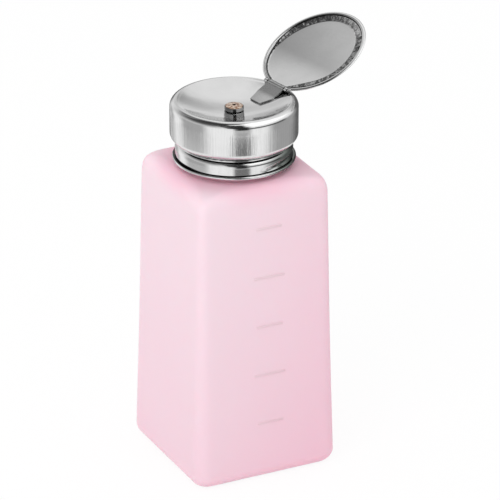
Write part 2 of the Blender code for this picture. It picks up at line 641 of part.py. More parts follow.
def make_barrel(material, bush_material):
    """The pump barrel, hung from its flange on the mouth, and the bush that guides the stem."""
    outside = BARREL_BORE_RADIUS + BARREL_WALL
    recess = BARREL_BORE_RADIUS + BUSH_FLANGE_WIDTH
    head_wall = recess + BARREL_WALL
    flange_top = Z_FLANGE + FLANGE_THICKNESS
    spigot_end = Z_FLANGE - SPIGOT_DEPTH
    outline = [
        (recess, flange_top), (NECK_RADIUS, flange_top), (NECK_RADIUS, Z_FLANGE), (SPIGOT_RADIUS, Z_FLANGE),
        (SPIGOT_RADIUS, spigot_end), (SPIGOT_RADIUS - SPIGOT_WALL, spigot_end),
        (SPIGOT_RADIUS - SPIGOT_WALL, Z_FLANGE), (head_wall, Z_FLANGE),
        (head_wall, Z_BARREL_STEP - BARREL_WALL), (outside, Z_BARREL_STEP - 2 * BARREL_WALL),
        (outside, Z_BARREL_END), (BARREL_BORE_RADIUS, Z_BARREL_END), (BARREL_BORE_RADIUS, Z_BARREL_STEP),
        (recess, Z_BARREL_STEP),
    ]
    place("pump_barrel", revolve("pump_barrel", outline, TUBE_SEGMENTS), material)
    flange = recess - BORE_CLEARANCE
    body = BARREL_BORE_RADIUS - BORE_CLEARANCE
    bush_flange = Z_BUSH_TOP - BUSH_FLANGE_THICKNESS
    bush = [
        (STEM_HOLE_RADIUS, Z_BUSH_TOP), (flange, Z_BUSH_TOP), (flange, bush_flange), (body, bush_flange),
        (body, Z_BUSH_END), (STEM_HOLE_RADIUS, Z_BUSH_END),
    ]
    place("guide_bush", revolve("guide_bush", bush, TUBE_SEGMENTS), bush_material)


def make_foot_valve(material, steel, tube_material):
    """The valve body under the barrel with its ball and cage, and the dip tube in its socket."""
    seat = inlet_seat_height()
    flange = BARREL_BORE_RADIUS + BARREL_WALL
    spigot = BARREL_BORE_RADIUS - BORE_CLEARANCE
    socket = DIP_TUBE_RADIUS + BORE_CLEARANCE
    outline = [
        (INLET_CHAMBER_RADIUS, Z_VALVE_TOP), (spigot, Z_VALVE_TOP), (spigot, Z_VALVE_FLANGE_TOP),
        (flange, Z_VALVE_FLANGE_TOP), (flange, Z_VALVE_FLANGE), (socket + SOCKET_WALL, Z_VALVE_FLANGE),
        (socket + SOCKET_WALL, Z_SOCKET_END), (socket, Z_SOCKET_END), (socket, Z_VALVE_FLANGE),
        (INLET_SEAT_RADIUS, Z_VALVE_FLANGE), (INLET_SEAT_RADIUS, seat), (INLET_CHAMBER_RADIUS, seat),
    ]
    place("foot_valve", revolve("foot_valve", outline, TUBE_SEGMENTS), material)
    centre = seat + seated_height(INLET_BALL_RADIUS, INLET_SEAT_RADIUS)
    ball("inlet_ball", INLET_BALL_RADIUS, steel, None, (0, 0, centre))
    make_cage(spigot, steel)
    make_dip_tube(tube_material)


def inlet_seat_height():
    """Height of the inlet valve's seat, with room for its ball to lift under the cage."""
    raised = seated_height(INLET_BALL_RADIUS, INLET_SEAT_RADIUS)
    return Z_CAGE - SEAT_GAP - INLET_LIFT - INLET_BALL_RADIUS - raised


def make_cage(radius, material):
    """The pierced disc over the valve ball, which the return spring stands on."""
    outline = rectangle(0.0, radius, Z_CAGE, Z_CAGE_TOP)
    cage = place("valve_cage", revolve("valve_cage", outline, TUBE_SEGMENTS), material)
    for i in range(CAGE_HOLES):
        angle = math.tau * (i + 0.5) / CAGE_HOLES
        hole = revolve("valve_cage_hole", rectangle(0.0, CAGE_HOLE_RADIUS, Z_CAGE - CUT_OVERRUN,
                                                    Z_CAGE_TOP + CUT_OVERRUN), 8)
        hole.transform(Matrix.Translation((CAGE_HOLE_CIRCLE_RADIUS * math.cos(angle),
                                           CAGE_HOLE_CIRCLE_RADIUS * math.sin(angle), 0)))
        combine(cage, hole, "DIFFERENCE")


def make_dip_tube(material):
    """The dip tube, cut on the slant at its foot so that the floor can't close it."""
    bore = DIP_TUBE_RADIUS - DIP_TUBE_WALL
    outline = rectangle(bore, DIP_TUBE_RADIUS, Z_DIP_TUBE_END, Z_DIP_TUBE_TOP)
    mesh = revolve("dip_tube", outline, SMALL_SEGMENTS)
    for vertex in mesh.vertices:
        if vertex.co.z < (Z_DIP_TUBE_END + Z_DIP_TUBE_TOP) / 2:
            vertex.co.z += vertex.co.x + DIP_TUBE_RADIUS
    place("dip_tube", mesh, material)


def make_bracket(material, hinge):
    """The strap on the dish: a tapered foot, a ramp and the knuckle rolled round the pin."""
    half = BRACKET_WIDTH / 2
    ramp_foot = -BRACKET_RAMP_RUN
    foot_end = ramp_foot - BRACKET_FOOT_LENGTH

    def half_width(x):
        share = max(0.0, (ramp_foot - x) / BRACKET_FOOT_LENGTH)
        return half * (1 - share * (1 - BRACKET_TIP_SHARE))

    def over_dish(x):
        radius = math.hypot(HINGE_RADIUS + x, half_width(x))
        return dish_height(radius) + SEAT_GAP + BRACKET_SHEET - Z_HINGE

    inside = (KNUCKLE_RADIUS + KNUCKLE_BORE_RADIUS) / 2
    foot_middle = (foot_end + ramp_foot) / 2
    path = [(x, over_dish(x)) for x in (foot_end, foot_middle, ramp_foot)] + [(-inside, 0.0)]
    outline = sheet_outline(path, BRACKET_SHEET)
    mesh = extrude_outline("hinge_bracket", outline, BRACKET_WIDTH)
    for vertex in mesh.vertices:
        vertex.co.y *= half_width(vertex.co.x) / half
    strap = place("hinge_bracket", mesh, material, hinge)
    ring = cylinder_along_y("bracket_knuckle", KNUCKLE_RADIUS, -half, half, PIN_SEGMENTS)
    combine(strap, ring, "UNION")
    bore = cylinder_along_y("bracket_bore", KNUCKLE_BORE_RADIUS, -half - CUT_OVERRUN, half + CUT_OVERRUN,
                            PIN_SEGMENTS)
    combine(strap, bore, "DIFFERENCE")


def make_pin(material, hinge):
    """The hinge pin with its two peened heads."""
    reach = PIN_HEAD_START
    end = PIN_END
    outline = [(0.0, end), (PIN_HEAD_RADIUS, end), (PIN_HEAD_RADIUS, reach), (PIN_RADIUS, reach)]
    outline += [(radius, -height) for radius, height in outline[::-1]]
    mesh = revolve("hinge_pin", outline, PIN_SEGMENTS)
    mesh.transform(Matrix.Rotation(math.pi / 2, 4, "X"))
    place("hinge_pin", mesh, material, hinge)


def lid_outline():
    """The closed lid's section as (radius, height over the lip's plane, height of its middle)."""
    half = LID_SHEET / 2
    lip = LID_RADIUS - LID_LIP_RADIUS
    foot = lip - LID_LIP_RADIUS / 2
    shelf = foot - LID_WALL_WIDTH
    middle = [(shelf * share, LID_DEPTH + LID_CROWN * (1 - share**2)) for share in LID_PANEL_SHARES]
    middle += [(shelf + LID_WALL_WIDTH * out, LID_DEPTH * up) for out, up in LID_WALL_SHARES]
    upper = [(radius, height + half, height) for radius, height in middle]
    leans = zip(middle, LID_LEAN_SHARES)
    lower = [(radius - half * lean, height - half, height) for (radius, height), lean in leans]
    curl = [(radius, height, 0.0) for radius, height in arc((lip, 0.0), LID_LIP_RADIUS, 110, -200, 7)]
    return upper + curl + lower[::-1]


def make_lid(material, hinge):
    """The lid, built closed with its hinge line on the Y axis, then turned open."""
    section = lid_outline()
    bm = bmesh.new()
    columns = []
    for i in range(SHELL_SEGMENTS):
        angle = math.tau * i / SHELL_SEGMENTS
        column = []
        for radius, height, middle in section:
            x = radius * math.cos(angle) - HINGE_RADIUS
            share = min(max(-x / LID_DRAW_LENGTH, 0.0), 1.0)
            drawn = middle * (1 - share * share * (3 - 2 * share))
            column.append(bm.verts.new((x, radius * math.sin(angle), height - drawn + LID_LIP_OVER_PIN)))
        columns.append(column)
    for left, right in zip(columns, columns[1:] + columns[:1]):
        for i in range(len(section) - 1):
            bm.faces.new((left[i], left[i + 1], right[i + 1], right[i]))
    bmesh.ops.remove_doubles(bm, verts=bm.verts, dist=MERGE_DISTANCE)
    lid = place("lid", to_mesh("lid", bm), material, hinge)
    lid.rotation_euler = (0.0, LID_OPENING, 0.0)
    gap = PIN_END + KNUCKLE_CLEARANCE
    reach = LID_RADIUS - HINGE_RADIUS + LID_LIP_RADIUS + CUT_OVERRUN
    notch = box("lid_notch", (-LID_EDGE_FROM_PIN, -gap, -LID_DEPTH), (reach, gap, LID_DEPTH))
    combine(lid, notch, "DIFFERENCE")
    for side in (-1, 1):
        start, end = sorted((side * EAR_START, side * EAR_END))
        tab = box("lid_tab", (-LID_EDGE_FROM_PIN - LID_SHEET, start, LID_LIP_OVER_PIN - LID_SHEET / 2),
                  (0.0, end, LID_LIP_OVER_PIN + LID_SHEET / 2))
        combine(lid, tab, "UNION")
        combine(lid, cylinder_along_y("lid_knuckle", KNUCKLE_RADIUS, start, end, PIN_SEGMENTS), "UNION")
    bore = cylinder_along_y("lid_bore", KNUCKLE_BORE_RADIUS, -gap, gap, PIN_SEGMENTS)
    combine(lid, bore, "DIFFERENCE")
    return lid


def make_spring(material, press):
    """The return spring and the seat on top of it, which lets the plunger turn without the spring."""
    coil = helix("return_spring", SPRING_RADIUS, SPRING_WIRE_RADIUS, Z_SPRING, Z_SPRING_TOP, SPRING_TURNS)
    place("return_spring", coil, material)
    outside = BARREL_BORE_RADIUS - BORE_CLEARANCE
    outline = rectangle(STEM_BORE_RADIUS, outside, Z_SPRING_SEAT, Z_SPRING_SEAT_TOP)
    place("spring_seat", revolve("spring_seat", outline, TUBE_SEGMENTS), material, press)


def main():
    """Builds every piece in place."""
    clear_scene()
    pink = finish("pink_polyethylene", (0.86, 0.60, 0.67), 0.45)
    steel = finish("brushed_steel", (0.62, 0.62, 0.63), 0.28, 1.0)
    dark_steel = finish("spring_steel", (0.45, 0.45, 0.46), 0.35, 1.0)
    brass = finish("brass", (0.75, 0.50, 0.26), 0.3, 1.0)
    white = finish("natural_plastic", (0.85, 0.85, 0.83), 0.45)
    rubber = finish("seal_rubber", (0.08, 0.08, 0.09), 0.7)
    clear = finish("tube_plastic", (0.80, 0.84, 0.86), 0.25)

    press = empty("press_joint", (0.0, 0.0, 0.0))
    head = empty("turn_joint", (0.0, 0.0, 0.0), parent=press)
    hinge_place = (HINGE_RADIUS * math.cos(HINGE_ANGLE), HINGE_RADIUS * math.sin(HINGE_ANGLE), Z_HINGE)
    hinge = empty("lid_joint", hinge_place, (0.0, 0.0, HINGE_ANGLE), head)

    make_bottle(pink)
    make_gasket(rubber)
    make_collar(steel)
    make_barrel(white, white)
    make_foot_valve(white, dark_steel, clear)
    make_spring(dark_steel, press)
    make_cap(steel, head)
    make_stem(steel, head)
    make_clamp(white, steel, head)
    make_piston(white, rubber, head)
    make_outlet_valve(dark_steel, head)
    make_nozzle(steel, brass, head)
    make_bracket(steel, hinge)
    make_pin(dark_steel, hinge)
    make_lid(steel, hinge)
    bpy.context.view_layer.update()


main()
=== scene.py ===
"""Nail polish remover pump: the finished look of every piece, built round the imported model.

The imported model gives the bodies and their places. Each sub-assembly is one class. Its fields are
sizes in millimetres, and its methods build the pieces as bmeshes in millimetres and dress them. A
piece is scaled to metres when it is handed to its body. The finishes work in millimetres too.
"""

from __future__ import annotations

import logging
import math
from collections.abc import Callable, Iterable, Sequence
from dataclasses import dataclass
from enum import Enum

import bmesh
import bpy
from mathutils import Matrix, Vector

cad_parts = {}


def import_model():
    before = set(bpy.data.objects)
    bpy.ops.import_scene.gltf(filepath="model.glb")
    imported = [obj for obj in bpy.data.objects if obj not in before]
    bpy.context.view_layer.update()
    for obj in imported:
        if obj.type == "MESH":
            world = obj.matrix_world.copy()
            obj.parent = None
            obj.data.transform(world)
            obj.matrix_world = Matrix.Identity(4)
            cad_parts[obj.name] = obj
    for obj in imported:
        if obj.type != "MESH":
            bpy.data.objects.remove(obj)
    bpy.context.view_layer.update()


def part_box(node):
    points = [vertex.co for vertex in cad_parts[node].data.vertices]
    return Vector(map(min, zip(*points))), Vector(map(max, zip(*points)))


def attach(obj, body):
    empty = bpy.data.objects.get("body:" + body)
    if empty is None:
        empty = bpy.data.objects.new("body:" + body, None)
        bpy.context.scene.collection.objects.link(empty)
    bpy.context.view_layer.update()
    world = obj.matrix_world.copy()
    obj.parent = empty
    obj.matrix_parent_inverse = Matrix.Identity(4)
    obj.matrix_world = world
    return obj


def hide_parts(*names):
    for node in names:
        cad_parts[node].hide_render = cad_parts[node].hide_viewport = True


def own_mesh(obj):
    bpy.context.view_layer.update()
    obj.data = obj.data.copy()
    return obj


MM = 0.001
SHARP = math.radians(40.0)
CLOSE_RISE = 2.2
INNER_SIDE = "inner_side"
LOG = logging.getLogger("remover_pump")
Point = tuple[float, float]
Outline = list[Point]
Spot = Colour = Level = tuple[float, float, float]
Shape = bmesh.types.BMesh
Piece = bpy.types.Object


def linear(*levels: int) -> Colour:
    """Turns a colour's three levels, 0 to 255, into linear values by the sRGB curve."""
    shares = [level / 255 for level in levels]
    return tuple(s / 12.92 if s <= 0.04045 else ((s + 0.055) / 1.055) ** 2.4 for s in shares)


def grey(level: int) -> Colour:
    """A neutral colour of one level, 0 to 255."""
    return linear(level, level, level)


def clamped(value: float, high: float = 1.0) -> float:
    """Holds a number between 0 and a highest one."""
    return min(max(value, 0.0), high)


def smooth(value: float) -> float:
    """Holds a number between 0 and 1, and softens both ends."""
    share = clamped(value)
    return share * share * (3 - 2 * share)


def operator(kind: str, swapped: bool = False) -> Callable[[Value, Value | float], Value]:
    """Makes an operator of Value, which adds one Math node.

    Args:
        kind: What the node does.
        swapped: True for the reflected form, where the value is the second term.

    Returns:
        The operator.
    """
    def work(self: Value, other: Value | float) -> Value:
        """Adds the node."""
        return self._math(kind, *((other, self) if swapped else (self, other)))

    return work


class Value:
    """A number or colour inside a material, which adds Math nodes when it is worked with."""

    __add__, __radd__ = operator("ADD"), operator("ADD", True)
    __sub__, __rsub__ = operator("SUBTRACT"), operator("SUBTRACT", True)
    __mul__, __rmul__ = operator("MULTIPLY"), operator("MULTIPLY", True)
    __truediv__, __rtruediv__ = operator("DIVIDE"), operator("DIVIDE", True)
    __pow__, larger = operator("POWER"), operator("MAXIMUM")

    def __init__(self, surface: Surface, socket: bpy.types.NodeSocket) -> None:
        """Wraps an output of one of a surface's nodes."""
        self.surface = surface
        self.socket = socket

    def _math(self, kind: str, *terms: Value | float) -> Value:
        """Adds one Math node, which works on the terms."""
        return self.surface.value("ShaderNodeMath", {"operation": kind}, dict(enumerate(terms)))

    def __abs__(self) -> Value:
        """The number without its sign."""
        return self._math("ABSOLUTE", self)

    def cosine(self) -> Value:
        """The cosine of an angle in degrees."""
        return self._math("COSINE", self * math.radians(1.0))

    def turn_to(self, across: Value) -> Value:
        """The angle in degrees of the direction that has self along and the other across."""
        return self._math("ARCTAN2", across, self) * math.degrees(1.0)

    def reach(self, across: Value) -> Value:
        """The distance of the point that has self along and the other across."""
        return (self * self + across * across) ** 0.5

    def between(self, low: float, high: float) -> Value:
        """Runs smoothly from 0 at low to 1 at high; high may be the lower of the two."""
        return self.surface.value("ShaderNodeMapRange", {"interpolation_type": "SMOOTHSTEP"},
                                  {"Value": self, "From Min": low, "From Max": high})


def bearing_parts(x: Value, y: Value, angle: float) -> tuple[Value, Value]:
    """How far a point lies along the direction at an angle, and across it to the left."""
    along = x * math.cos(angle) + y * math.sin(angle)
    return along, y * math.cos(angle) - x * math.sin(angle)


class Surface:
    """A material or the world under construction: its nodes and the shader that they feed."""

    def __init__(self, name: str, world: bool = False) -> None:
        """Starts with one plain shader.

        Args:
            name: The material's or the world's name.
            world: True for a world.
        """
        self.owner = (bpy.data.worlds if world else bpy.data.materials).new(name)
        self.owner.use_nodes = True
        self.tree = self.owner.node_tree
        self.shader = self.tree.nodes["Background" if world else "Principled BSDF"]

    def feed(self, socket: bpy.types.NodeSocket, value: object) -> None:
        """Links a value to a socket, or sets it there when it is a plain one.

        Args:
            socket: The input to feed.
            value: A Value, a number, a colour or a vector.
        """
        if isinstance(value, Value):
            self.tree.links.new(value.socket, socket)
        elif isinstance(value, tuple) and len(value) < len(socket.default_value):
            socket.default_value = (*value, 1.0)
        else:
            socket.default_value = value

    def node(self, kind: str, settings: dict[str, object] | None = None,
             sockets: dict[str | int, object] | None = None) -> bpy.types.Node:
        """Adds any node.

        Args:
            kind: The node's type.
            settings: Its own settings.
            sockets: The values or links of its inputs, by name or number.

        Returns:
            The node.
        """
        node = self.tree.nodes.new(kind)
        for key, value in (settings or {}).items():
            setattr(node, key, value)
        for key, value in (sockets or {}).items():
            self.feed(node.inputs[key], value)
        return node

    def value(self, kind: str, settings: dict[str, object] | None = None,
              sockets: dict[str | int, object] | None = None, output: str | int = 0) -> Value:
        """Adds any node, as node does, and gives one of its outputs, by name or number."""
        return Value(self, self.node(kind, settings, sockets).outputs[output])

    def place(self, middle: Spot = (0.0, 0.0, 0.0), turn: Matrix | None = None) -> Value:
        """The point on the piece in millimetres, in a frame of the piece's own where it has one.

        Args:
            middle: The origin of that frame, in metres.
            turn: The rotation from that frame to the object's.

        Returns:
            The point as a vector.
        """
        point = self.value("ShaderNodeTexCoord", output="Object")
        if turn is not None:
            point = self.value("ShaderNodeVectorMath", {"operation": "SUBTRACT"},
                               {0: point, 1: middle})
            point = self.value("ShaderNodeVectorRotate", {"rotation_type": "EULER_XYZ"},
                               {"Vector": point, "Rotation": tuple(turn.inverted().to_euler())})
        return self.value("ShaderNodeVectorMath", {"operation": "SCALE"},
                          {0: point, "Scale": 1 / MM})

    def parts(self, vector: Value) -> tuple[Value, Value, Value]:
        """Splits a vector into its three numbers."""
        node = self.node("ShaderNodeSeparateXYZ", sockets={0: vector})
        return tuple(Value(self, output) for output in node.outputs)

    def vector(self, x: Value | float, y: Value | float, z: Value | float) -> Value:
        """Joins three numbers into a vector."""
        return self.value("ShaderNodeCombineXYZ", sockets={0: x, 1: y, 2: z})

    def around(self, x: Value, y: Value, size: float, third: Value) -> Value:
        """A vector that goes round the axis on a circle of one size, at any distance from it."""
        reach = x.reach(y)
        return self.vector(x / reach * size, y / reach * size, third)

    def noise(self, where: Value, scale: float, detail: float = 2.0,
              roughness: float = 0.5) -> Value:
        """Soft random variation.

        Args:
            where: The point that it is read at.
            scale: How many grains it has in a unit of length.
            detail: How many finer layers it has.
            roughness: How strong the finer layers are.

        Returns:
            A number round 0.5.
        """
        sockets = {"Vector": where, "Scale": scale, "Detail": detail, "Roughness": roughness}
        return self.value("ShaderNodeTexNoise", sockets=sockets)

    def mix(self, share: Value | float, first: Value | Colour, second: Value | Colour) -> Value:
        """Mixes two colours, with a share of the second."""
        sockets = {0: share, 6: first, 7: second}
        return self.value("ShaderNodeMix", {"data_type": "RGBA"}, sockets, 2)

    def bump(self, height: Value, distance: float, below: Value | None = None) -> Value:
        """Turns a height into a bent normal.

        Args:
            height: The height, from 0 to 1.
            distance: How far 1 stands up, in millimetres.
            below: A normal from a coarser bump.

        Returns:
            The normal.
        """
        sockets = {"Height": height, "Distance": distance * MM, "Strength": 1.0}
        if below is not None:
            sockets["Normal"] = below
        return self.value("ShaderNodeBump", sockets=sockets)

    def ray(self, kind: str) -> Value:
        """1 for a ray of one kind, such as Camera, and 0 for the others."""
        return self.value("ShaderNodeLightPath", output=f"Is {kind} Ray")

    def glow(self, strength: Value | float) -> Value:
        """A white shader that shines by itself."""
        return self.value("ShaderNodeEmission",
                          sockets={"Color": (1.0, 1.0, 1.0), "Strength": strength})

    def finish(self, **sockets: object) -> bpy.types.ID:
        """Feeds the shader.

        Args:
            sockets: The shader's inputs, with underscores for spaces.

        Returns:
            The material or the world.
        """
        for key, value in sockets.items():
            name = key.replace("_", " ").title().replace("Ior", "IOR")
            self.feed(self.shader.inputs[name], value)
        return self.owner

    def show(self, shader: Value) -> bpy.types.ID:
        """Ends the material in another shader than the plain one."""
        self.feed(self.tree.nodes["Material Output"].inputs["Surface"], shader)
        return self.owner


class Grain(Enum):
    """Which way the fine lines of a metal run."""

    ROUND = "round the axis"
    UPRIGHT = "along the axis"
    CROSS = "straight across"
    EVEN = "every way"


@dataclass(frozen=True)
class Steel:
    """Stainless steel with the lines that its tool left.

    Tone and shade are its light and dark grey levels. Middle is the origin of the piece's own
    frame, in metres, and turn is how that frame is turned about Z and then about Y.
    """

    name: str
    grain: Grain
    tone: int = 226
    shade: int = 216
    roughness: float = 0.22
    line_depth: float = 0.004
    lines: float = 9.0
    slot: str = "steel"
    middle: Spot = (0.0, 0.0, 0.0)
    turn: Point = (0.0, 0.0)

    def _place(self, surface: Surface) -> Value:
        """The point in the piece's own frame."""
        turn = Matrix.Rotation(self.turn[0], 4, "Z") @ Matrix.Rotation(self.turn[1], 4, "Y")
        return surface.place(self.middle, turn if any(self.turn) else None)

    def _lines(self, surface: Surface) -> Value:
        """The lines as a random number that changes across them.

        Args:
            surface: The material.

        Returns:
            A number round 0.5.
        """
        spot = self._place(surface)
        if self.grain is Grain.EVEN:
            return surface.noise(spot, self.lines, 3.0, 0.6)
        x, y, z = surface.parts(spot)
        if self.grain is Grain.ROUND:
            reach = x.reach(y)
            spot = surface.vector(reach, z, x / (reach + 1.0))
        elif self.grain is Grain.CROSS:
            spot = surface.vector(x * 0.03, y, z)
        else:
            spot = surface.around(x, y, 20.0, z * 0.02)
        fine = surface.noise(spot, self.lines, 3.0, 0.7)
        if self.grain is Grain.UPRIGHT:
            return fine * 0.3 + surface.noise(spot, 1.9, 2.0, 0.6) * 0.7
        return fine

    def _shade(self, surface: Surface, colour: Value) -> Value:
        """Leaves the colour as it is; a finish with painted shade or painted light changes it."""
        return colour

    def _relief(self, surface: Surface, lines: Value) -> Value:
        """The normal that the fine lines give."""
        return surface.bump(lines, self.line_depth)

    def make(self) -> bpy.types.Material:
        """Builds the material."""
        surface = Surface(self.name)
        lines = self._lines(surface)
        broad = surface.noise(surface.place(), 0.12)
        share = (lines * 0.6 + broad * 0.4).between(0.32, 0.68)
        colour = self._shade(surface, surface.mix(share, grey(self.shade), grey(self.tone)))
        rough = self.roughness * 0.85 + (1.0 - share) * (self.roughness * 0.35)
        return surface.finish(base_color=colour, metallic=1.0, roughness=rough,
                              normal=self._relief(surface, lines))


@dataclass(frozen=True)
class CollarSteel(Steel):
    """Rolled steel, with painted shade: black in the crevice over its foot bead, which gapes at one
    side, black under the cap's lip, and grey-green on the side away from the gap.
    """

    notch: float = 115.5
    wall: float = 20.7
    under_cap: float = 120.5
    gap: float = math.radians(149.0)

    def _lines(self, surface: Surface) -> Value:
        """Lines round the collar, broken by a few upright ones."""
        x, y, z = surface.parts(surface.place())
        upright = surface.noise(surface.around(x, y, 20.0, z * 0.1), 1.6, 2.0, 0.6)
        return super()._lines(surface) * 0.5 + upright * 0.5

    def _shade(self, surface: Surface, colour: Value) -> Value:
        """Paints shade: darkens the crevice, the wall inside the cap and the side away from the
        gap.
        """
        x, y, z = surface.parts(surface.place())
        reach = x.reach(y)
        side = (x * math.cos(self.gap) + y * math.sin(self.gap)) / reach
        half = side.between(0.2, 1.0) * 0.3
        # Painted shade: the crevice over the foot bead is blackened, in a band that widens towards
        # the gap.
        high = (abs(z - self.notch - half) - half).between(0.27, 0.17)
        sunk = reach.between(self.wall + 0.02, self.wall - 0.1)
        deep = sunk.larger(side.between(0.3, 0.7)) * high
        # Painted shade: the wall under the cap's lip is blackened, with an uneven edge.
        uneven = surface.noise(surface.vector(x, y, z * 0.3), 0.5) * 0.5
        painted_lip_shade = (z + uneven).between(self.under_cap, self.under_cap + 0.6)
        # Painted shade: a grey-green copy of the colour on the side away from the gap.
        shaded = surface.mix(side.between(-0.5, -0.95), colour, linear(104, 110, 106))
        return surface.mix(deep.larger(painted_lip_shade), shaded, grey(26))


@dataclass(frozen=True)
class CapSteel(Steel):
    """Drawn steel, brushed up its skirt, slightly wavy in its dish, with painted shade at its lip's
    edge and a painted shadow on the dish beside the strap.
    """

    dish: float = 19.8
    skirt: float = 132.6
    lip: float = 121.472
    hinge: float = math.radians(10.8)
    hinge_reach: float = 18.7

    def _lines(self, surface: Surface) -> Value:
        """Lines up the skirt, and none in the dish."""
        x, y, _ = surface.parts(surface.place())
        skirt = x.reach(y).between(self.dish, self.dish + 1.0)
        return (super()._lines(surface) - 0.5) * skirt + 0.5

    def _shade(self, surface: Surface, colour: Value) -> Value:
        """Paints shade on the lip's edge, and a blotchy painted shadow and dark reflection of the
        lid's back on the dish beside the strap.
        """
        spot = surface.place()
        x, y, z = surface.parts(spot)
        # Painted shade: a grey band along the lip's edge.
        colour = surface.mix(z.between(self.lip + 0.6, self.lip + 0.3), colour, grey(90))
        # Painted shadow and dark reflection of the lid's back: a triangle on the dish beside the
        # strap, blotched with painted glints.
        along, across = bearing_parts(x, y, self.hinge)
        along = along - self.hinge_reach
        painted_lid_shadow = (across + along * 1.16 + 10.4).between(0.0, 0.9)
        painted_lid_shadow = painted_lid_shadow * across.between(-3.6, -4.4) * along.between(1.2, 0.6)
        dark = surface.mix(surface.noise(spot, 0.9).between(0.42, 0.58), grey(24), grey(110))
        return surface.mix(painted_lid_shadow * z.between(self.skirt, self.skirt + 0.5), colour, dark)

    def _relief(self, surface: Surface, lines: Value) -> Value:
        """Lays the skirt's lines or the dish's waves."""
        spot = surface.place()
        x, y, z = surface.parts(spot)
        reach = x.reach(y)
        dish = reach.between(self.dish, self.dish - 1.0)
        waves = surface.noise(spot, 0.14, 1.0)
        low = z.between(self.skirt, self.skirt - 2.0)
        skirt = low * reach.between(self.dish - 1.0, self.dish)
        return surface.bump(dish * waves, 0.15, surface.bump(lines * skirt, self.line_depth))


@dataclass(frozen=True)
class StrapSteel(Steel):
    """Bent steel strip, with painted shade: black in the gap under the strip and at the ends of its
    knuckle.

    Start and end are points of the strip's lower face, and half is half its width.
    """

    start: Point = (-5.0, -2.5)
    end: Point = (-0.7, 0.0)
    half: float = 4.5

    def _shade(self, surface: Surface, colour: Value) -> Value:
        """Paints black shade on the sides under the strip and at the ends of its knuckle."""
        x, y, z = surface.parts(self._place(surface))
        slope = (self.end[1] - self.start[1]) / (self.end[0] - self.start[0])
        strip = x * slope + (self.start[1] - self.start[0] * slope)
        # Painted shade: the side faces below the strip's lower face, and at the knuckle's ends, are
        # blackened.
        under = (strip - z).between(0.1, 0.3).larger(x.between(-1.0, -0.6))
        side = abs(y).between(self.half - 0.25, self.half - 0.1)
        return surface.mix(side * under, colour, grey(14))


@dataclass(frozen=True)
class LidSteel(Steel):
    """Pressed steel: a smooth panel, and a wall that wrinkled as it was drawn, painted lighter and
    darker for light and shade.
    """

    lid: Hinge | None = None
    gap: float = 0.4

    def _wall(self, surface: Surface) -> tuple[Value, Value, Value, Value]:
        """Where the wall is, its wrinkles, its side with painted shade and its seam with the lip.

        Args:
            surface: The material.

        Returns:
            How much a point belongs to the wall, the wrinkles' height, how much it lies in the
            painted shade, and how much it belongs to the seam.
        """
        lid = self.lid
        lip = lid.lid_radius - 1.9 * lid.lip_width
        x, y, _ = surface.parts(self._place(surface))
        x = x + lid.radius
        reach = x.reach(y)
        around = abs(x.turn_to(y))
        edge = lid.shelf / (math.degrees(lid.tongue_angle) - around).larger(0.0).cosine()
        wide = around.between(math.degrees(lid.side_end), math.degrees(lid.side_start))
        wide = wide * y.between(-0.3, 0.3)
        edge = edge.larger(lid.shelf + (lip - self.gap - lid.shelf) * wide)
        edge = edge - (y / reach).between(0.0, -1.0) * lid.low_wall
        past = reach - edge
        inner = surface.value("ShaderNodeAttribute", {"attribute_name": INNER_SIDE}, output="Fac")
        wall = inner * past.between(-0.35, 0.25) * reach.between(lip + 0.1, lip - 0.35)
        wrinkles = surface.noise(surface.around(x, y, 16.0, reach * 0.5), 0.9, 3.0, 0.65)
        # Painted shade: where the darker copy of the wall's colour goes, on one side, across the
        # middle and deep in the wall.
        painted_shade_side = y.between(-4.0, -14.0).larger(x.between(-6.0, 2.0))
        painted_shade_side = painted_shade_side.larger(past.between(1.0, 0.3) * 0.6)
        # Painted shade in the seam between the wall and the lip.
        seam = inner * reach.between(lip - 0.35, lip - 0.15) * reach.between(lip + 0.2, lip)
        return wall, wrinkles, painted_shade_side, seam

    def _shade(self, surface: Surface, colour: Value) -> Value:
        """Paints light and shade on the wall, a lighter and a darker copy blotched by its wrinkles,
        and paints shade in the seam.
        """
        wall, wrinkles, painted_shade_side, seam = self._wall(surface)
        # Painted light and shade: a lighter and a darker copy of the wall's colour.
        light = surface.mix(wrinkles.between(0.35, 0.65), grey(150), grey(226))
        dark = surface.mix(wrinkles.between(0.42, 0.6), grey(48), grey(172))
        colour = surface.mix(wall, colour, surface.mix(painted_shade_side, light, dark))
        return surface.mix(seam, colour, grey(40))

    def _relief(self, surface: Surface, lines: Value) -> Value:
        """Adds the wall's wrinkles to the fine lines."""
        wall, wrinkles, _, _ = self._wall(surface)
        return surface.bump(wall * wrinkles, 0.35, super()._relief(surface, lines))


@dataclass(frozen=True)
class Brass:
    """Polished brass, a little coppery, with blotches that partly stand in for glints, and painted
    shade in its hole.
    """

    name: str = "polished_brass"
    slot: str = "brass"
    hole: float = 0.58

    def make(self) -> bpy.types.Material:
        """Builds the material."""
        surface = Surface(self.name)
        spot = surface.place()
        # Blotchy tone, partly random and partly standing in for painted glints and dark
        # reflections.
        cloud = surface.noise(spot, 1.2, 3.0).between(0.35, 0.65)
        colour = surface.mix(cloud, linear(150, 108, 82), linear(232, 212, 194))
        x, y, _ = surface.parts(spot)
        # Painted shade: the hole is darkened to a deep brown.
        hole = x.reach(y).between(self.hole + 0.14, self.hole)
        dents = surface.noise(spot, 1.1, 1.0) * 0.9 + surface.noise(spot, 4.0) * 0.1
        return surface.finish(base_color=surface.mix(hole, colour, linear(48, 26, 14)),
                              metallic=1.0, roughness=0.14 + cloud * 0.08,
                              normal=surface.bump(dents, 0.3))


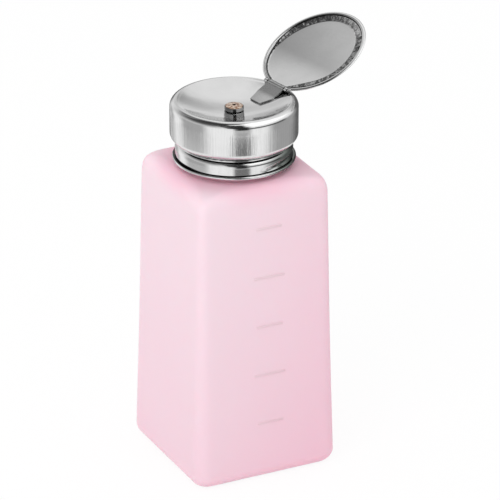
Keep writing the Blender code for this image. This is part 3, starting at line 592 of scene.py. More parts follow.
@dataclass(frozen=True)
class PinkShell:
    """Blown pink polyethylene: satin, faintly clouded and with a fine skin, with painted shading:
    deeper pink towards +X, towards the foot and round the neck.
    """

    name: str = "pink_polyethylene"
    slot: str = "bottle_plastic"
    light: Colour = linear(255, 217, 228)
    deep: Colour = linear(250, 193, 209)
    # Painted shade: the deeper pink used round the neck.
    shoulder: Colour = linear(255, 198, 214)

    def make(self) -> bpy.types.Material:
        """Builds the material."""
        surface = Surface(self.name)
        spot = surface.place()
        x, y, z = surface.parts(spot)
        cloud = surface.noise(spot, 0.018, 1.0) * 0.2 - 0.1
        skin = surface.noise(spot, 2.5, 3.0)
        # Painted shading: the pink deepens towards +X and towards the foot, over a faint random
        # clouding.
        colour = surface.mix(cloud + x * 0.0095 - z * 0.005 + 0.75, self.light, self.deep)
        # Painted shade: a deeper pink on the shoulder round the neck, under the collar.
        painted_neck_shade = z.between(103.0, 111.0) * x.reach(y).between(31.0, 22.0)
        colour = surface.mix(painted_neck_shade, colour, self.shoulder)
        return surface.finish(base_color=colour, roughness=0.46 + skin * 0.1,
                              normal=surface.bump(skin, 0.006), subsurface_weight=0.3,
                              subsurface_radius=(1.0, 0.35, 0.45), subsurface_scale=0.008)


@dataclass(frozen=True)
class Plastic:
    """Moulded plastic in one colour, with a fine skin and slight clouding."""

    name: str
    light: Colour
    deep: Colour
    roughness: float = 0.4
    slot: str = "natural_plastic"

    def make(self) -> bpy.types.Material:
        """Builds the material."""
        surface = Surface(self.name)
        spot = surface.place()
        cloud = surface.noise(spot, 0.2).between(0.3, 0.7)
        skin = surface.noise(spot, 4.0)
        return surface.finish(base_color=surface.mix(cloud, self.deep, self.light),
                              roughness=self.roughness + skin * 0.08,
                              normal=surface.bump(skin, 0.004))


def arc(middle: Point, radius: float, start: float, end: float, steps: int) -> Outline:
    """Points along an arc of an outline.

    Args:
        middle: The arc's centre.
        radius: Its radius.
        start: The angle that it starts at, in degrees.
        end: The angle that it ends at, in degrees.
        steps: How many steps it takes.

    Returns:
        The points, both ends included.
    """
    turns = [math.radians(start + (end - start) * i / steps) for i in range(steps + 1)]
    return [(middle[0] + radius * math.cos(a), middle[1] + radius * math.sin(a)) for a in turns]


def sheet(path: Outline, thickness: float) -> Outline:
    """Closes a path into a sheet that lies to the right of its direction.

    Args:
        path: The path.
        thickness: The sheet's thickness.

    Returns:
        The closed outline.
    """
    back = []
    last = len(path) - 1
    for i, point in enumerate(path):
        here = Vector(point)
        before, after = Vector(path[max(i - 1, 0)]), Vector(path[min(i + 1, last)])
        first = (here - before).normalized() if i else (after - here).normalized()
        second = (after - here).normalized() if i < last else first
        right = Vector((first.y + second.y, -first.x - second.x)).normalized()
        back.append(tuple(here + right * thickness / right.dot(Vector((first.y, -first.x)))))
    return path + back[::-1]


def mirrored(half: Outline) -> Outline:
    """Goes on from one half of an outline through its mirror image at height 0."""
    return half + [(reach, -height) for reach, height in half[::-1]]


def ring(inner: float, outer: float, bottom: float, top: float) -> Outline:
    """The outline of a plain ring, or of a disc where the inner radius is zero."""
    return [(inner, top), (outer, top), (outer, bottom), (inner, bottom)]


def only(kind: type, items: Iterable[object]) -> list:
    """The items of one kind, such as BMVert."""
    return [item for item in items if isinstance(item, kind)]


def spun(bm: Shape, section: list, steps: int) -> None:
    """Spins a section a full turn round the Z axis, closes it and turns its faces outwards.

    Args:
        bm: The bmesh.
        section: The section's vertices and edges.
        steps: How many steps the turn takes.
    """
    bmesh.ops.spin(bm, geom=section, cent=(0, 0, 0), axis=(0, 0, 1), angle=math.tau, steps=steps,
                   use_merge=True)
    bmesh.ops.remove_doubles(bm, verts=bm.verts, dist=1e-4)
    bmesh.ops.recalc_face_normals(bm, faces=bm.faces)


def bevelled(bm: Shape, edges: Iterable[bmesh.types.BMEdge], width: float,
             segments: int = 2) -> None:
    """Rounds some edges of a bmesh by a width."""
    bmesh.ops.bevel(bm, geom=list(edges), offset=width, offset_type="OFFSET", segments=segments,
                    profile=0.5, affect="EDGES", clamp_overlap=True, material=-1)


def turned(outline: Outline, segments: int = 96, soften: float = 0.0) -> Shape:
    """Spins a closed outline round the Z axis.

    Args:
        outline: Points (radius, height), in order round the section.
        segments: How many steps a full turn takes.
        soften: The width of the bevel on its sharp edges.

    Returns:
        The closed bmesh.
    """
    bm = bmesh.new()
    verts = [bm.verts.new((radius, 0.0, height)) for radius, height in outline]
    pairs = zip(verts, verts[1:] + verts[:1])
    edges = [bm.edges.new(pair) for pair in pairs if any(vert.co.x > 0.0 for vert in pair)]
    spun(bm, verts + edges, segments)
    if soften > 0.0:
        bevelled(bm, [edge for edge in bm.edges if edge.calc_face_angle(0.0) > SHARP], soften)
    return bm


def coiled(radius: float, wire: float, bottom: float, top: float, turns: float,
           closed: float) -> Shape:
    """Winds a spring of round wire on the Z axis, with closed turns at both ends.

    Args:
        radius: The radius of the wire's middle.
        wire: The wire's radius.
        bottom: The height of its foot.
        top: The height of its top.
        turns: All its turns.
        closed: How many turns at each end lie close.

    Returns:
        The bmesh.
    """
    bm = bmesh.new()
    sides, steps = 12, 40
    stand = Matrix.Translation((radius, 0, bottom + wire)) @ Matrix.Rotation(math.pi / 2, 4, "X")
    made = bmesh.ops.create_circle(bm, cap_ends=True, segments=sides, radius=wire, matrix=stand)
    live = [*made["verts"], *bm.edges]
    close_rise = CLOSE_RISE * wire * closed
    open_rise = top - bottom - 2 * wire - 2 * close_rise
    ends = (closed, close_rise)
    for count, rise in (ends, (turns - 2 * closed, open_rise), ends):
        stages = max(round(steps * count), 1)
        made = bmesh.ops.spin(bm, geom=live, cent=(0, 0, 0), axis=(0, 0, 1),
                              dvec=(0, 0, rise / stages), angle=math.tau * count, steps=stages)
        live = [item for item in made["geom_last"] if not isinstance(item, bmesh.types.BMFace)]
    bmesh.ops.edgeloop_fill(bm, edges=only(bmesh.types.BMEdge, live))
    bmesh.ops.recalc_face_normals(bm, faces=bm.faces)
    return bm


def block(low: Sequence[float], high: Sequence[float]) -> Shape:
    """A box between two corners."""
    bm = bmesh.new()
    size = Vector(high) - Vector(low)
    middle = Matrix.Translation((Vector(high) + Vector(low)) / 2)
    bmesh.ops.create_cube(bm, size=1.0, matrix=middle @ Matrix.Diagonal((*size, 1.0)))
    return bm


def rod(radius: float, start: float, end: float, segments: int = 40) -> Shape:
    """A round rod on the Y axis, from one place to another."""
    bm = turned(ring(0.0, radius, start, end), segments)
    turn = Matrix.Rotation(-math.pi / 2, 3, "X")
    bmesh.ops.rotate(bm, verts=bm.verts, cent=(0, 0, 0), matrix=turn)
    return bm


def prism(outline: Outline, start: float, width: float) -> Shape:
    """Extrudes a closed outline (x, height) along the Y axis.

    Args:
        outline: The outline.
        start: Where it starts.
        width: How far it goes.

    Returns:
        The closed bmesh.
    """
    bm = bmesh.new()
    face = bm.faces.new([bm.verts.new((x, start, z)) for x, z in outline])
    made = bmesh.ops.extrude_face_region(bm, geom=[face])["geom"]
    bmesh.ops.translate(bm, verts=only(bmesh.types.BMVert, made), vec=(0, width, 0))
    bmesh.ops.recalc_face_normals(bm, faces=bm.faces)
    return bm


def linked(name: str, data: bpy.types.ID) -> Piece:
    """Puts data on a new object in the scene."""
    item = bpy.data.objects.new(name, data)
    bpy.context.scene.collection.objects.link(item)
    return item


def shown(name: str, bm: Shape) -> Piece:
    """Puts a bmesh on a new object in the scene."""
    mesh = bpy.data.meshes.new(name)
    bm.to_mesh(mesh)
    bm.free()
    return linked(name, mesh)


class Change(Enum):
    """What one shape does to another."""

    ADD = "UNION"
    CUT = "DIFFERENCE"
    TRIM = "INTERSECT"


def combined(body: Shape, tools: Sequence[tuple[Change, Shape]]) -> Shape:
    """Adds shapes to a bmesh, cuts them from it or trims it by them, and cleans the result.

    Args:
        body: The bmesh that is worked on.
        tools: Pairs of what is done and the shape that does it.

    Returns:
        The new bmesh.
    """
    base = shown("shape", body)
    made = [base]
    for change, tool in tools:
        step = base.modifiers.new(change.name, "BOOLEAN")
        step.operation = change.value
        step.solver = "EXACT"
        step.object = shown("shape", tool)
        made.append(step.object)
    bpy.context.view_layer.update()
    result = bmesh.new()
    result.from_object(base, bpy.context.evaluated_depsgraph_get())
    for item in made:
        mesh = item.data
        bpy.data.objects.remove(item)
        bpy.data.meshes.remove(mesh)
    bmesh.ops.remove_doubles(result, verts=result.verts, dist=1e-3)
    bmesh.ops.dissolve_degenerate(result, dist=1e-3, edges=result.edges)
    wide = [face for face in result.faces if len(face.verts) > 4]
    bmesh.ops.triangulate(result, faces=wide, quad_method="BEAUTY", ngon_method="BEAUTY")
    bmesh.ops.dissolve_degenerate(result, dist=1e-3, edges=result.edges)
    return result


@dataclass
class Assembly:
    """What every sub-assembly can do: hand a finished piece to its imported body."""

    body: str

    def keep(self, name: str, bm: Shape, finish: Steel | Brass | PinkShell | Plastic,
             replaces: Sequence[str] = (), body: str | None = None, sharp: float = 32.0) -> Piece:
        """Makes a piece from its bmesh, dresses it and lets it ride on its body.

        Args:
            name: The piece's name.
            bm: Its shape in millimetres, in place.
            finish: The finish that it wears.
            replaces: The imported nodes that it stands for.
            body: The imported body, where it isn't the sub-assembly's own.
            sharp: The angle, in degrees, from which an edge is shown as sharp.

        Returns:
            The piece.
        """
        bmesh.ops.scale(bm, vec=(MM, MM, MM), verts=bm.verts)
        piece = shown(name, bm)
        piece.data.shade_smooth()
        piece.data.set_sharp_from_angle(angle=math.radians(sharp))
        piece.data.materials.append(finish.make())
        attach(piece, body or self.body)
        if replaces:
            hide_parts(*replaces)
        LOG.info("%s: %d faces, rides on %s", name, len(piece.data.polygons), body or self.body)
        return piece

    def span(self, node: str) -> tuple[float, float, float]:
        """Lowest height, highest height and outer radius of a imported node, in millimetres."""
        low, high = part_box(node)
        return low.z / MM, high.z / MM, high.x / MM


@dataclass
class Bottle(Assembly):
    """The blown bottle with its neck thread and its moulded graduation."""

    body: str = "bottle"
    base_half: float = 27.8
    top_half: float = 25.2
    body_height: float = 104.0
    hollow: float = 0.15
    corner: float = 3.5
    foot: float = 5.2
    shoulder_rise: float = 8.2
    shoulder_power: float = 2.64
    corner_power: float = 2.77
    wall: float = 1.2
    floor: float = 1.6
    outer_steps: tuple[int, int, int] = (8, 28, 30)
    inner_steps: tuple[int, int, int] = (5, 10, 14)
    recess: tuple[Level, ...] = ((18.4, 5.4, 0.8), (20.0, 5.0, 0.72), (21.0, 4.6, 0.4),
                                 (21.6, 4.2, 0.08), (22.1, 3.8, 0.0))
    ring_points: int = 40
    crowding: float = 1.6
    neck_radius: float = 17.45
    neck_fillet: float = 0.75
    bore_radius: float = 15.55
    mouth: float = 121.2
    mouth_round: float = 0.4
    thread_pitch: float = 4.2333
    thread_crest: float = 18.73
    thread_root: float = 17.2
    thread_foot: float = 115.6
    thread_turns: float = 1.1
    thread_steps: int = 96
    thread_halves: Level = (1.15, 0.55, 0.3)
    thread_round: float = 0.25
    thread_fade: float = 6.5
    mark_first: float = 22.3
    mark_step: float = 18.6
    mark_halves: tuple[float, ...] = (5.0, 6.0, 5.0, 6.0, 5.0)
    mark_depth: float = 0.5
    mark_height: float = 0.9
    mark_aside: float = 1.0
    mark_sunk: float = 0.15
    mark_round: float = 0.16
    finish: PinkShell = PinkShell()

    def wall_half(self, height: float) -> float:
        """Half width of the outer wall at a height."""
        share = min(height / self.body_height, 1.0)
        sag = self.hollow * math.sin(math.pi * share) ** 2
        return self.base_half + (self.top_half - self.base_half) * share - sag

    def _reach(self, angle: float, half: float, corner: float) -> float:
        """How far a square with rounded corners reaches at an angle.

        Args:
            angle: The angle round the axis.
            half: The square's half width.
            corner: Its corner radius.

        Returns:
            The distance from the axis.
        """
        folded = abs(angle) % (math.pi / 2)
        folded = min(folded, math.pi / 2 - folded)
        if half * math.tan(folded) <= half - corner:
            return half / math.cos(folded)
        out = math.sqrt(2.0) * (half - corner)
        off = math.pi / 4 - folded
        return out * math.cos(off) + math.sqrt(max(corner**2 - (out * math.sin(off)) ** 2, 0.0))

    def _body_levels(self, inset: float, floor: float, neck: float, top: float,
                     steps: tuple[int, int, int]) -> list[Level]:
        """Levels (half width, corner radius, height) of the body from its foot to its neck.

        Args:
            inset: How far the wall lies inside the outer one.
            floor: The height of its foot.
            neck: The neck's radius.
            top: The height of the shoulder's top.
            steps: How many levels foot, wall and shoulder have.

        Returns:
            The levels from the bottom up.
        """
        foot = self.foot - inset
        corner = self.corner - inset
        big = max(corner, foot)
        side = self.top_half - inset
        start = floor + foot
        levels = []
        for i in range(steps[0] + 1):
            angle = i / steps[0] * math.pi / 2
            height = floor + foot * (1 - math.cos(angle))
            pull = foot * (1 - math.sin(angle))
            levels.append((self.wall_half(height) - inset - pull, big - pull / 2, height))
        for i in range(1, steps[1] + 1):
            height = start + (self.body_height - start) * i / steps[1]
            turn = big + (corner - big) * i / steps[1]
            levels.append((self.wall_half(height) - inset, turn, height))
        for i in range(1, steps[2] + 1):
            angle = i / steps[2] * math.pi / 2
            share = 1 - math.cos(angle) ** (2 / self.shoulder_power)
            half = side + (neck - side) * share
            climb = (top - self.body_height) * math.sin(angle) ** (2 / self.shoulder_power)
            levels.append((half, corner + (half - corner) * share**self.corner_power,
                           self.body_height + climb))
        return levels

    def _levels(self) -> list[Level]:
        """All levels, up the outside and down the inside, from the pushed-up base."""
        shoulder = self.body_height + self.shoulder_rise
        root = self.neck_radius + self.neck_fillet
        edge = self.mouth - self.mouth_round
        rim = arc((root, shoulder + self.neck_fillet), self.neck_fillet, 225, 180, 4)
        rim += arc((self.neck_radius - self.mouth_round, edge), self.mouth_round, 0, 90, 4)
        rim += arc((self.bore_radius + self.mouth_round, edge), self.mouth_round, 90, 180, 4)
        outer = self._body_levels(0.0, 0.0, root, shoulder, self.outer_steps)
        inner = self._body_levels(self.wall, self.floor, self.bore_radius, shoulder - self.wall,
                                  self.inner_steps)
        round_levels = [(radius, radius, height) for radius, height in rim]
        return [*self.recess, *outer, *round_levels, *inner[::-1]]

    def _shape(self, verts: Sequence[bmesh.types.BMVert], level: Level) -> None:
        """Moves one ring of the wall to its level."""
        half, corner, height = level
        for vert in verts:
            angle = math.atan2(vert.co.y, vert.co.x)
            reach = self._reach(angle, half, corner)
            vert.co = (reach * math.cos(angle), reach * math.sin(angle), height)

    def shell(self) -> Piece:
        """Draws the wall level by level from the base, and closes it at the floor."""
        bm = bmesh.new()
        levels = self._levels()
        bmesh.ops.create_circle(bm, cap_ends=True, segments=4 * self.ring_points, radius=1.0)
        verts = sorted(bm.verts, key=lambda vert: math.atan2(vert.co.y, vert.co.x) % math.tau)
        for i, vert in enumerate(verts):
            quarter, place = divmod(i, self.ring_points)
            share = 2 * place / self.ring_points - 1
            bend = 45 * math.copysign(abs(share) ** self.crowding, share)
            angle = math.radians(90 * quarter + 45 + bend)
            vert.co = (math.cos(angle), math.sin(angle), 0.0)
        live = list(bm.edges)
        self._shape(verts, levels[0])
        for level in levels[1:]:
            made = bmesh.ops.extrude_edge_only(bm, edges=live)["geom"]
            self._shape(only(bmesh.types.BMVert, made), level)
            live = [edge for edge in only(bmesh.types.BMEdge, made) if edge.is_boundary]
        bmesh.ops.edgeloop_fill(bm, edges=live)
        bmesh.ops.recalc_face_normals(bm, faces=bm.faces)
        return self.keep("bottle_shell", bm, self.finish, ["bottle"])

    def thread(self) -> Piece:
        """Winds the neck's single thread, faded out at both ends."""
        bm = bmesh.new()
        root, crest = self.thread_root, self.thread_crest
        wide, flank, flat = self.thread_halves
        section = mirrored([(root, -wide), (crest - self.thread_round, -flank), (crest, -flat)])
        verts = [bm.verts.new((x, 0.0, z + self.thread_foot)) for x, z in section]
        live = verts + [bm.edges.new(pair) for pair in zip(verts, verts[1:] + verts[:1])]
        steps = round(self.thread_steps * self.thread_turns)
        bmesh.ops.spin(bm, geom=live, cent=(0, 0, 0), axis=(0, 0, 1), steps=steps,
                       angle=math.tau * self.thread_turns,
                       dvec=(0, 0, self.thread_pitch * self.thread_turns / steps))
        for i, vert in enumerate(bm.verts):
            along = (i // len(section)) / steps
            fade = min(1.0, self.thread_fade * min(along, 1 - along) + 0.02)
            reach = math.hypot(vert.co.x, vert.co.y)
            target = root + (reach - root) * math.sin(fade * math.pi / 2)
            vert.co.x *= target / reach
            vert.co.y *= target / reach
        bmesh.ops.holes_fill(bm, edges=[edge for edge in bm.edges if edge.is_boundary], sides=0)
        bmesh.ops.recalc_face_normals(bm, faces=bm.faces)
        return self.keep("neck_thread", bm, self.finish)

    def graduation(self) -> Piece:
        """Raises the faint bars that mark the filling on the wide front face."""
        bm = bmesh.new()
        for i, half in enumerate(self.mark_halves):
            height = self.mark_first + self.mark_step * i
            face = self.mark_sunk - self.wall_half(height)
            middle = Matrix.Translation((self.mark_aside, face, height))
            size = Matrix.Diagonal((2 * half, self.mark_depth, self.mark_height, 1))
            made = bmesh.ops.create_cube(bm, size=1.0, matrix=middle @ size)
            edges = {edge for vert in made["verts"] for edge in vert.link_edges}
            bevelled(bm, edges, self.mark_round)
        return self.keep("graduation_bars", bm, self.finish)

    def build(self) -> None:
        """Builds every piece of the bottle."""
        self.shell()
        self.thread()
        self.graduation()


@dataclass
class Collar(Assembly):
    """The screw collar with its rolled thread, and the gasket under it."""

    body: str = "collar"
    radius: float = 20.7
    gauge: float = 0.5
    deck: float = 124.15
    deck_hole: float = 12.0
    bead_centre: float = 20.5
    bead_radius: float = 1.1
    foot: float = 114.1
    foot_bead: float = 0.56
    foot_reach: float = 0.95
    notch_height: float = 0.1
    notch_depth: float = 0.4
    pitch: float = 4.2333
    groove_depth: float = 1.0
    groove_power: float = 1.5
    groove_phase: float = 0.6693
    thread_start: float = math.radians(-92.0)
    thread_end: float = math.radians(64.0)
    thread_fade: float = 0.5
    foot_fade: float = 0.7
    plain_top: float = 1.9
    top_fade: float = 0.6
    shoulder_start: float = 3.9
    shoulder_radius: float = 2.5
    shoulder_turn: float = math.radians(58.0)
    wall_steps: int = 40
    gasket_bore: float = 15.3
    rib_height: float = 0.12
    rib_half: float = 0.4

    def _groove(self, angle: float, height: float) -> float:
        """How far the rolled thread pulls the wall in.

        Args:
            angle: The angle round the axis.
            height: The height.

        Returns:
            The depth.
        """
        if angle > self.thread_end:
            angle -= math.tau
        climb = height - self.foot
        turn = climb / self.pitch - angle / math.tau - self.groove_phase
        turn = min(max(turn, -0.5), 0.5)
        wave = (0.5 + 0.5 * math.cos(math.tau * turn)) ** self.groove_power
        end = clamped((self.thread_end - angle) / self.thread_fade)
        end *= clamped((angle - self.thread_start) / self.thread_fade)
        low = smooth((climb - 2 * self.foot_bead) / self.foot_fade)
        groove = self.groove_depth * wave * low * end
        above = clamped(climb - self.shoulder_start,
                        self.shoulder_radius * math.sin(self.shoulder_turn))
        shoulder = self.shoulder_radius - math.sqrt(self.shoulder_radius**2 - above**2)
        high = smooth((self.deck - self.plain_top - height) / self.top_fade)
        return max(groove, shoulder) * high

    def shell(self) -> Piece:
        """Spins the drawn collar and rolls the thread into its wall."""
        inside = self.radius - self.gauge
        sunk = self.radius - self.notch_depth
        top = self.deck + self.gauge
        bead = top - self.bead_radius
        bead_middle = (self.radius + self.foot_reach - self.foot_bead, self.foot + self.foot_bead)
        wall_top = bead - self.bead_radius - self.gauge
        notch = self.foot + 2 * self.foot_bead + self.notch_height
        wall_foot = notch + self.notch_height + 0.15
        wall = [wall_foot + (wall_top - wall_foot) * i / self.wall_steps
                for i in range(self.wall_steps + 1)]
        outline = [(self.deck_hole, self.deck), (self.deck_hole, top)]
        outline += arc((self.bead_centre, bead), self.bead_radius, 90, -62, 12)
        outline += [(self.radius, height) for height in wall[::-1]]
        outline += [(self.radius - 0.12, notch + self.notch_height), (sunk, notch + 0.15),
                    (sunk, notch - self.notch_height)]
        outline += arc(bead_middle, self.foot_bead, 96, -90, 16)
        outline += [(inside, height) for height in (self.foot, *wall, self.deck)]
        bm = turned(outline, 180)
        for vert in bm.verts:
            reach, height = math.hypot(vert.co.x, vert.co.y), vert.co.z
            in_wall = self.radius - 1.5 < reach < self.radius + 0.02
            if in_wall and wall_foot - 0.01 < height < wall_top + 0.3:
                share = 1 - self._groove(math.atan2(vert.co.y, vert.co.x), height) / reach
                vert.co.x *= share
                vert.co.y *= share
        finish = CollarSteel("collar_steel", Grain.ROUND, roughness=0.12, notch=notch)
        return self.keep("collar_shell", bm, finish, ["screw_collar"])

    def gasket(self) -> Piece:
        """Spins the flat gasket with one fine rib on each face."""
        bottom, top, outer = self.span("sealing_gasket")
        rib, low = (self.gasket_bore + outer) / 2, self.rib_height
        face = [(self.gasket_bore, low), (rib - self.rib_half, low), (rib, 0.0),
                (rib + self.rib_half, low), (outer, low)]
        outline = [(reach, top - depth) for reach, depth in face]
        outline += [(reach, bottom + depth) for reach, depth in face[::-1]]
        black = Plastic("gasket_rubber", grey(46), grey(30), 0.6, "seal_rubber")
        return self.keep("gasket_ring", turned(outline, 120), black, ["sealing_gasket"], "gasket")

    def build(self) -> None:
        """Builds the collar and the gasket."""
        self.shell()
        self.gasket()


@dataclass
class Cap(Assembly):
    """The press cap: dish, rolled rim, skirt and crimped lip, with the clamp under it."""

    body: str = "head"
    radius: float = 22.5
    height: float = 14.13
    gauge: float = 0.5
    rim_radius: float = 2.4
    step_width: float = 0.5
    step_depth: float = 0.2
    dish_depth: float = 3.98
    dish_flat: float = 4.4
    dish_steps: int = 26
    crimp_width: float = 1.65
    crimp_height: float = 2.4
    crimp_bend: float = math.radians(60.0)
    crimp_steps: int = 8
    stem_hole: float = 2.75
    lip: float = 121.472
    nut_chamfer: float = 0.8
    insert_hole: float = 0.5
    insert_steps: int = 10

    def dish_height(self, radius: float) -> float:
        """Height of the dish's upper face at a radius."""
        dish = self.lip + self.height - self.dish_depth
        outer = self.radius - self.rim_radius - self.step_width
        share = max(radius - self.dish_flat, 0.0) / (outer - self.dish_flat)
        flat = self.dish_flat / outer
        return dish + (self.dish_depth - self.step_depth) * (share**2 * (1 - flat) + share * flat)

    def _path(self) -> Outline:
        """The shell's outer face, from the stem's hole to the lip."""
        rim = self.lip + self.height
        middle = self.radius - self.rim_radius
        outer = middle - self.step_width
        start = self.dish_flat * 0.8
        path = [(self.stem_hole, self.dish_height(0.0))]
        for i in range(self.dish_steps + 1):
            reach = start + (outer - start) * i / self.dish_steps
            path.append((reach, self.dish_height(reach)))
        path += [(outer + self.step_width * 0.5, rim - self.step_depth * 0.35)]
        path += arc((middle, rim - self.rim_radius), self.rim_radius, 92, 0, 14)
        for i in range(self.crimp_steps + 1):
            angle = self.crimp_bend * i / self.crimp_steps
            inward = (1 - math.cos(angle)) / (1 - math.cos(self.crimp_bend))
            down = math.sin(angle) / math.sin(self.crimp_bend)
            path.append((self.radius - self.crimp_width * inward,
                         self.lip + self.crimp_height * (1 - down)))
        return path

    def shell(self) -> Piece:
        """Spins the drawn sheet, cut level at its lip."""
        path = self._path()
        outline = sheet(path, self.gauge)
        (outer, high), (inner, low) = path[-2:]
        inward = (outer - inner) / math.hypot(outer - inner, high - low)
        outline[len(path)] = (inner, self.lip + self.gauge / inward)
        finish = CapSteel("cap_steel", Grain.UPRIGHT, roughness=0.12, line_depth=0.08)
        return self.keep("cap_shell", turned(outline, 200), finish, ["press_cap"], sharp=50)

    def clamp(self) -> None:
        """Builds the washer and the nut that hold the dish on the stem."""
        bottom, top, reach = self.span("dish_washer")
        washer = turned(ring(self.stem_hole, reach, bottom, top), 72, 0.12)
        white = Plastic("washer_plastic", grey(226), grey(214))
        self.keep("clamp_washer", washer, white, ["dish_washer"])
        bottom, top, reach = self.span("clamp_nut")
        bm = bmesh.new()
        middle = Matrix.Translation((0, 0, (bottom + top) / 2))
        bmesh.ops.create_cone(bm, cap_ends=True, segments=6, radius1=reach, radius2=reach,
                              depth=top - bottom, matrix=middle)
        flat, wide = reach - 0.55, reach + 0.8
        chamfer = [(0.0, bottom - 1), (flat, bottom), (wide, bottom + self.nut_chamfer),
                   (wide, top - self.nut_chamfer), (flat, top), (0.0, top + 1)]
        bore = ring(0.0, self.stem_hole, bottom - 2, top + 2)
        bm = combined(bm, [(Change.TRIM, turned(chamfer)), (Change.CUT, turned(bore, 64))])
        nut = Steel("nut_steel", Grain.EVEN, 200, 170, 0.3)
        self.keep("hexagon_nut", bm, nut, ["clamp_nut"])

    def nozzle(self) -> None:
        """Builds the steel button and its domed brass insert."""
        bottom, top, outer = self.span("nozzle_ring")
        seat = outer - 0.28
        body = [(self.stem_hole, bottom), (self.stem_hole, top - 0.6), (seat, top - 0.5),
                (seat, top - 0.1), *arc((outer - 0.18, top - 0.2), 0.18, 130, 0, 6),
                (outer, bottom + 0.15), (outer - 0.15, bottom)]
        # Painted dark reflection: the button steel is a darker grey than the other steel.
        steel = Steel("button_steel", Grain.ROUND, 156, 104, 0.14)
        self.keep("button_ring", turned(body), steel, ["nozzle_ring"])
        bottom, top, _ = self.span("nozzle_insert")
        edge, hole, stem = seat - 0.02, self.insert_hole, self.stem_hole - 0.05
        dome = [(hole, bottom), (hole, top - 0.2), (hole + 0.12, top - 0.05)]
        for i in range(1, self.insert_steps + 1):
            share = i / self.insert_steps
            dome.append((hole + 0.12 + (edge - hole - 0.17) * share, top - 0.25 * share**2 - 0.01))
        dome += [(edge, top - 0.45), (stem, top - 0.5), (stem, bottom)]
        self.keep("button_insert", turned(dome, 72), Brass(), ["nozzle_insert"])

    def build(self) -> None:
        """Builds the cap, its clamp and its nozzle."""
        self.shell()
        self.clamp()
        self.nozzle()


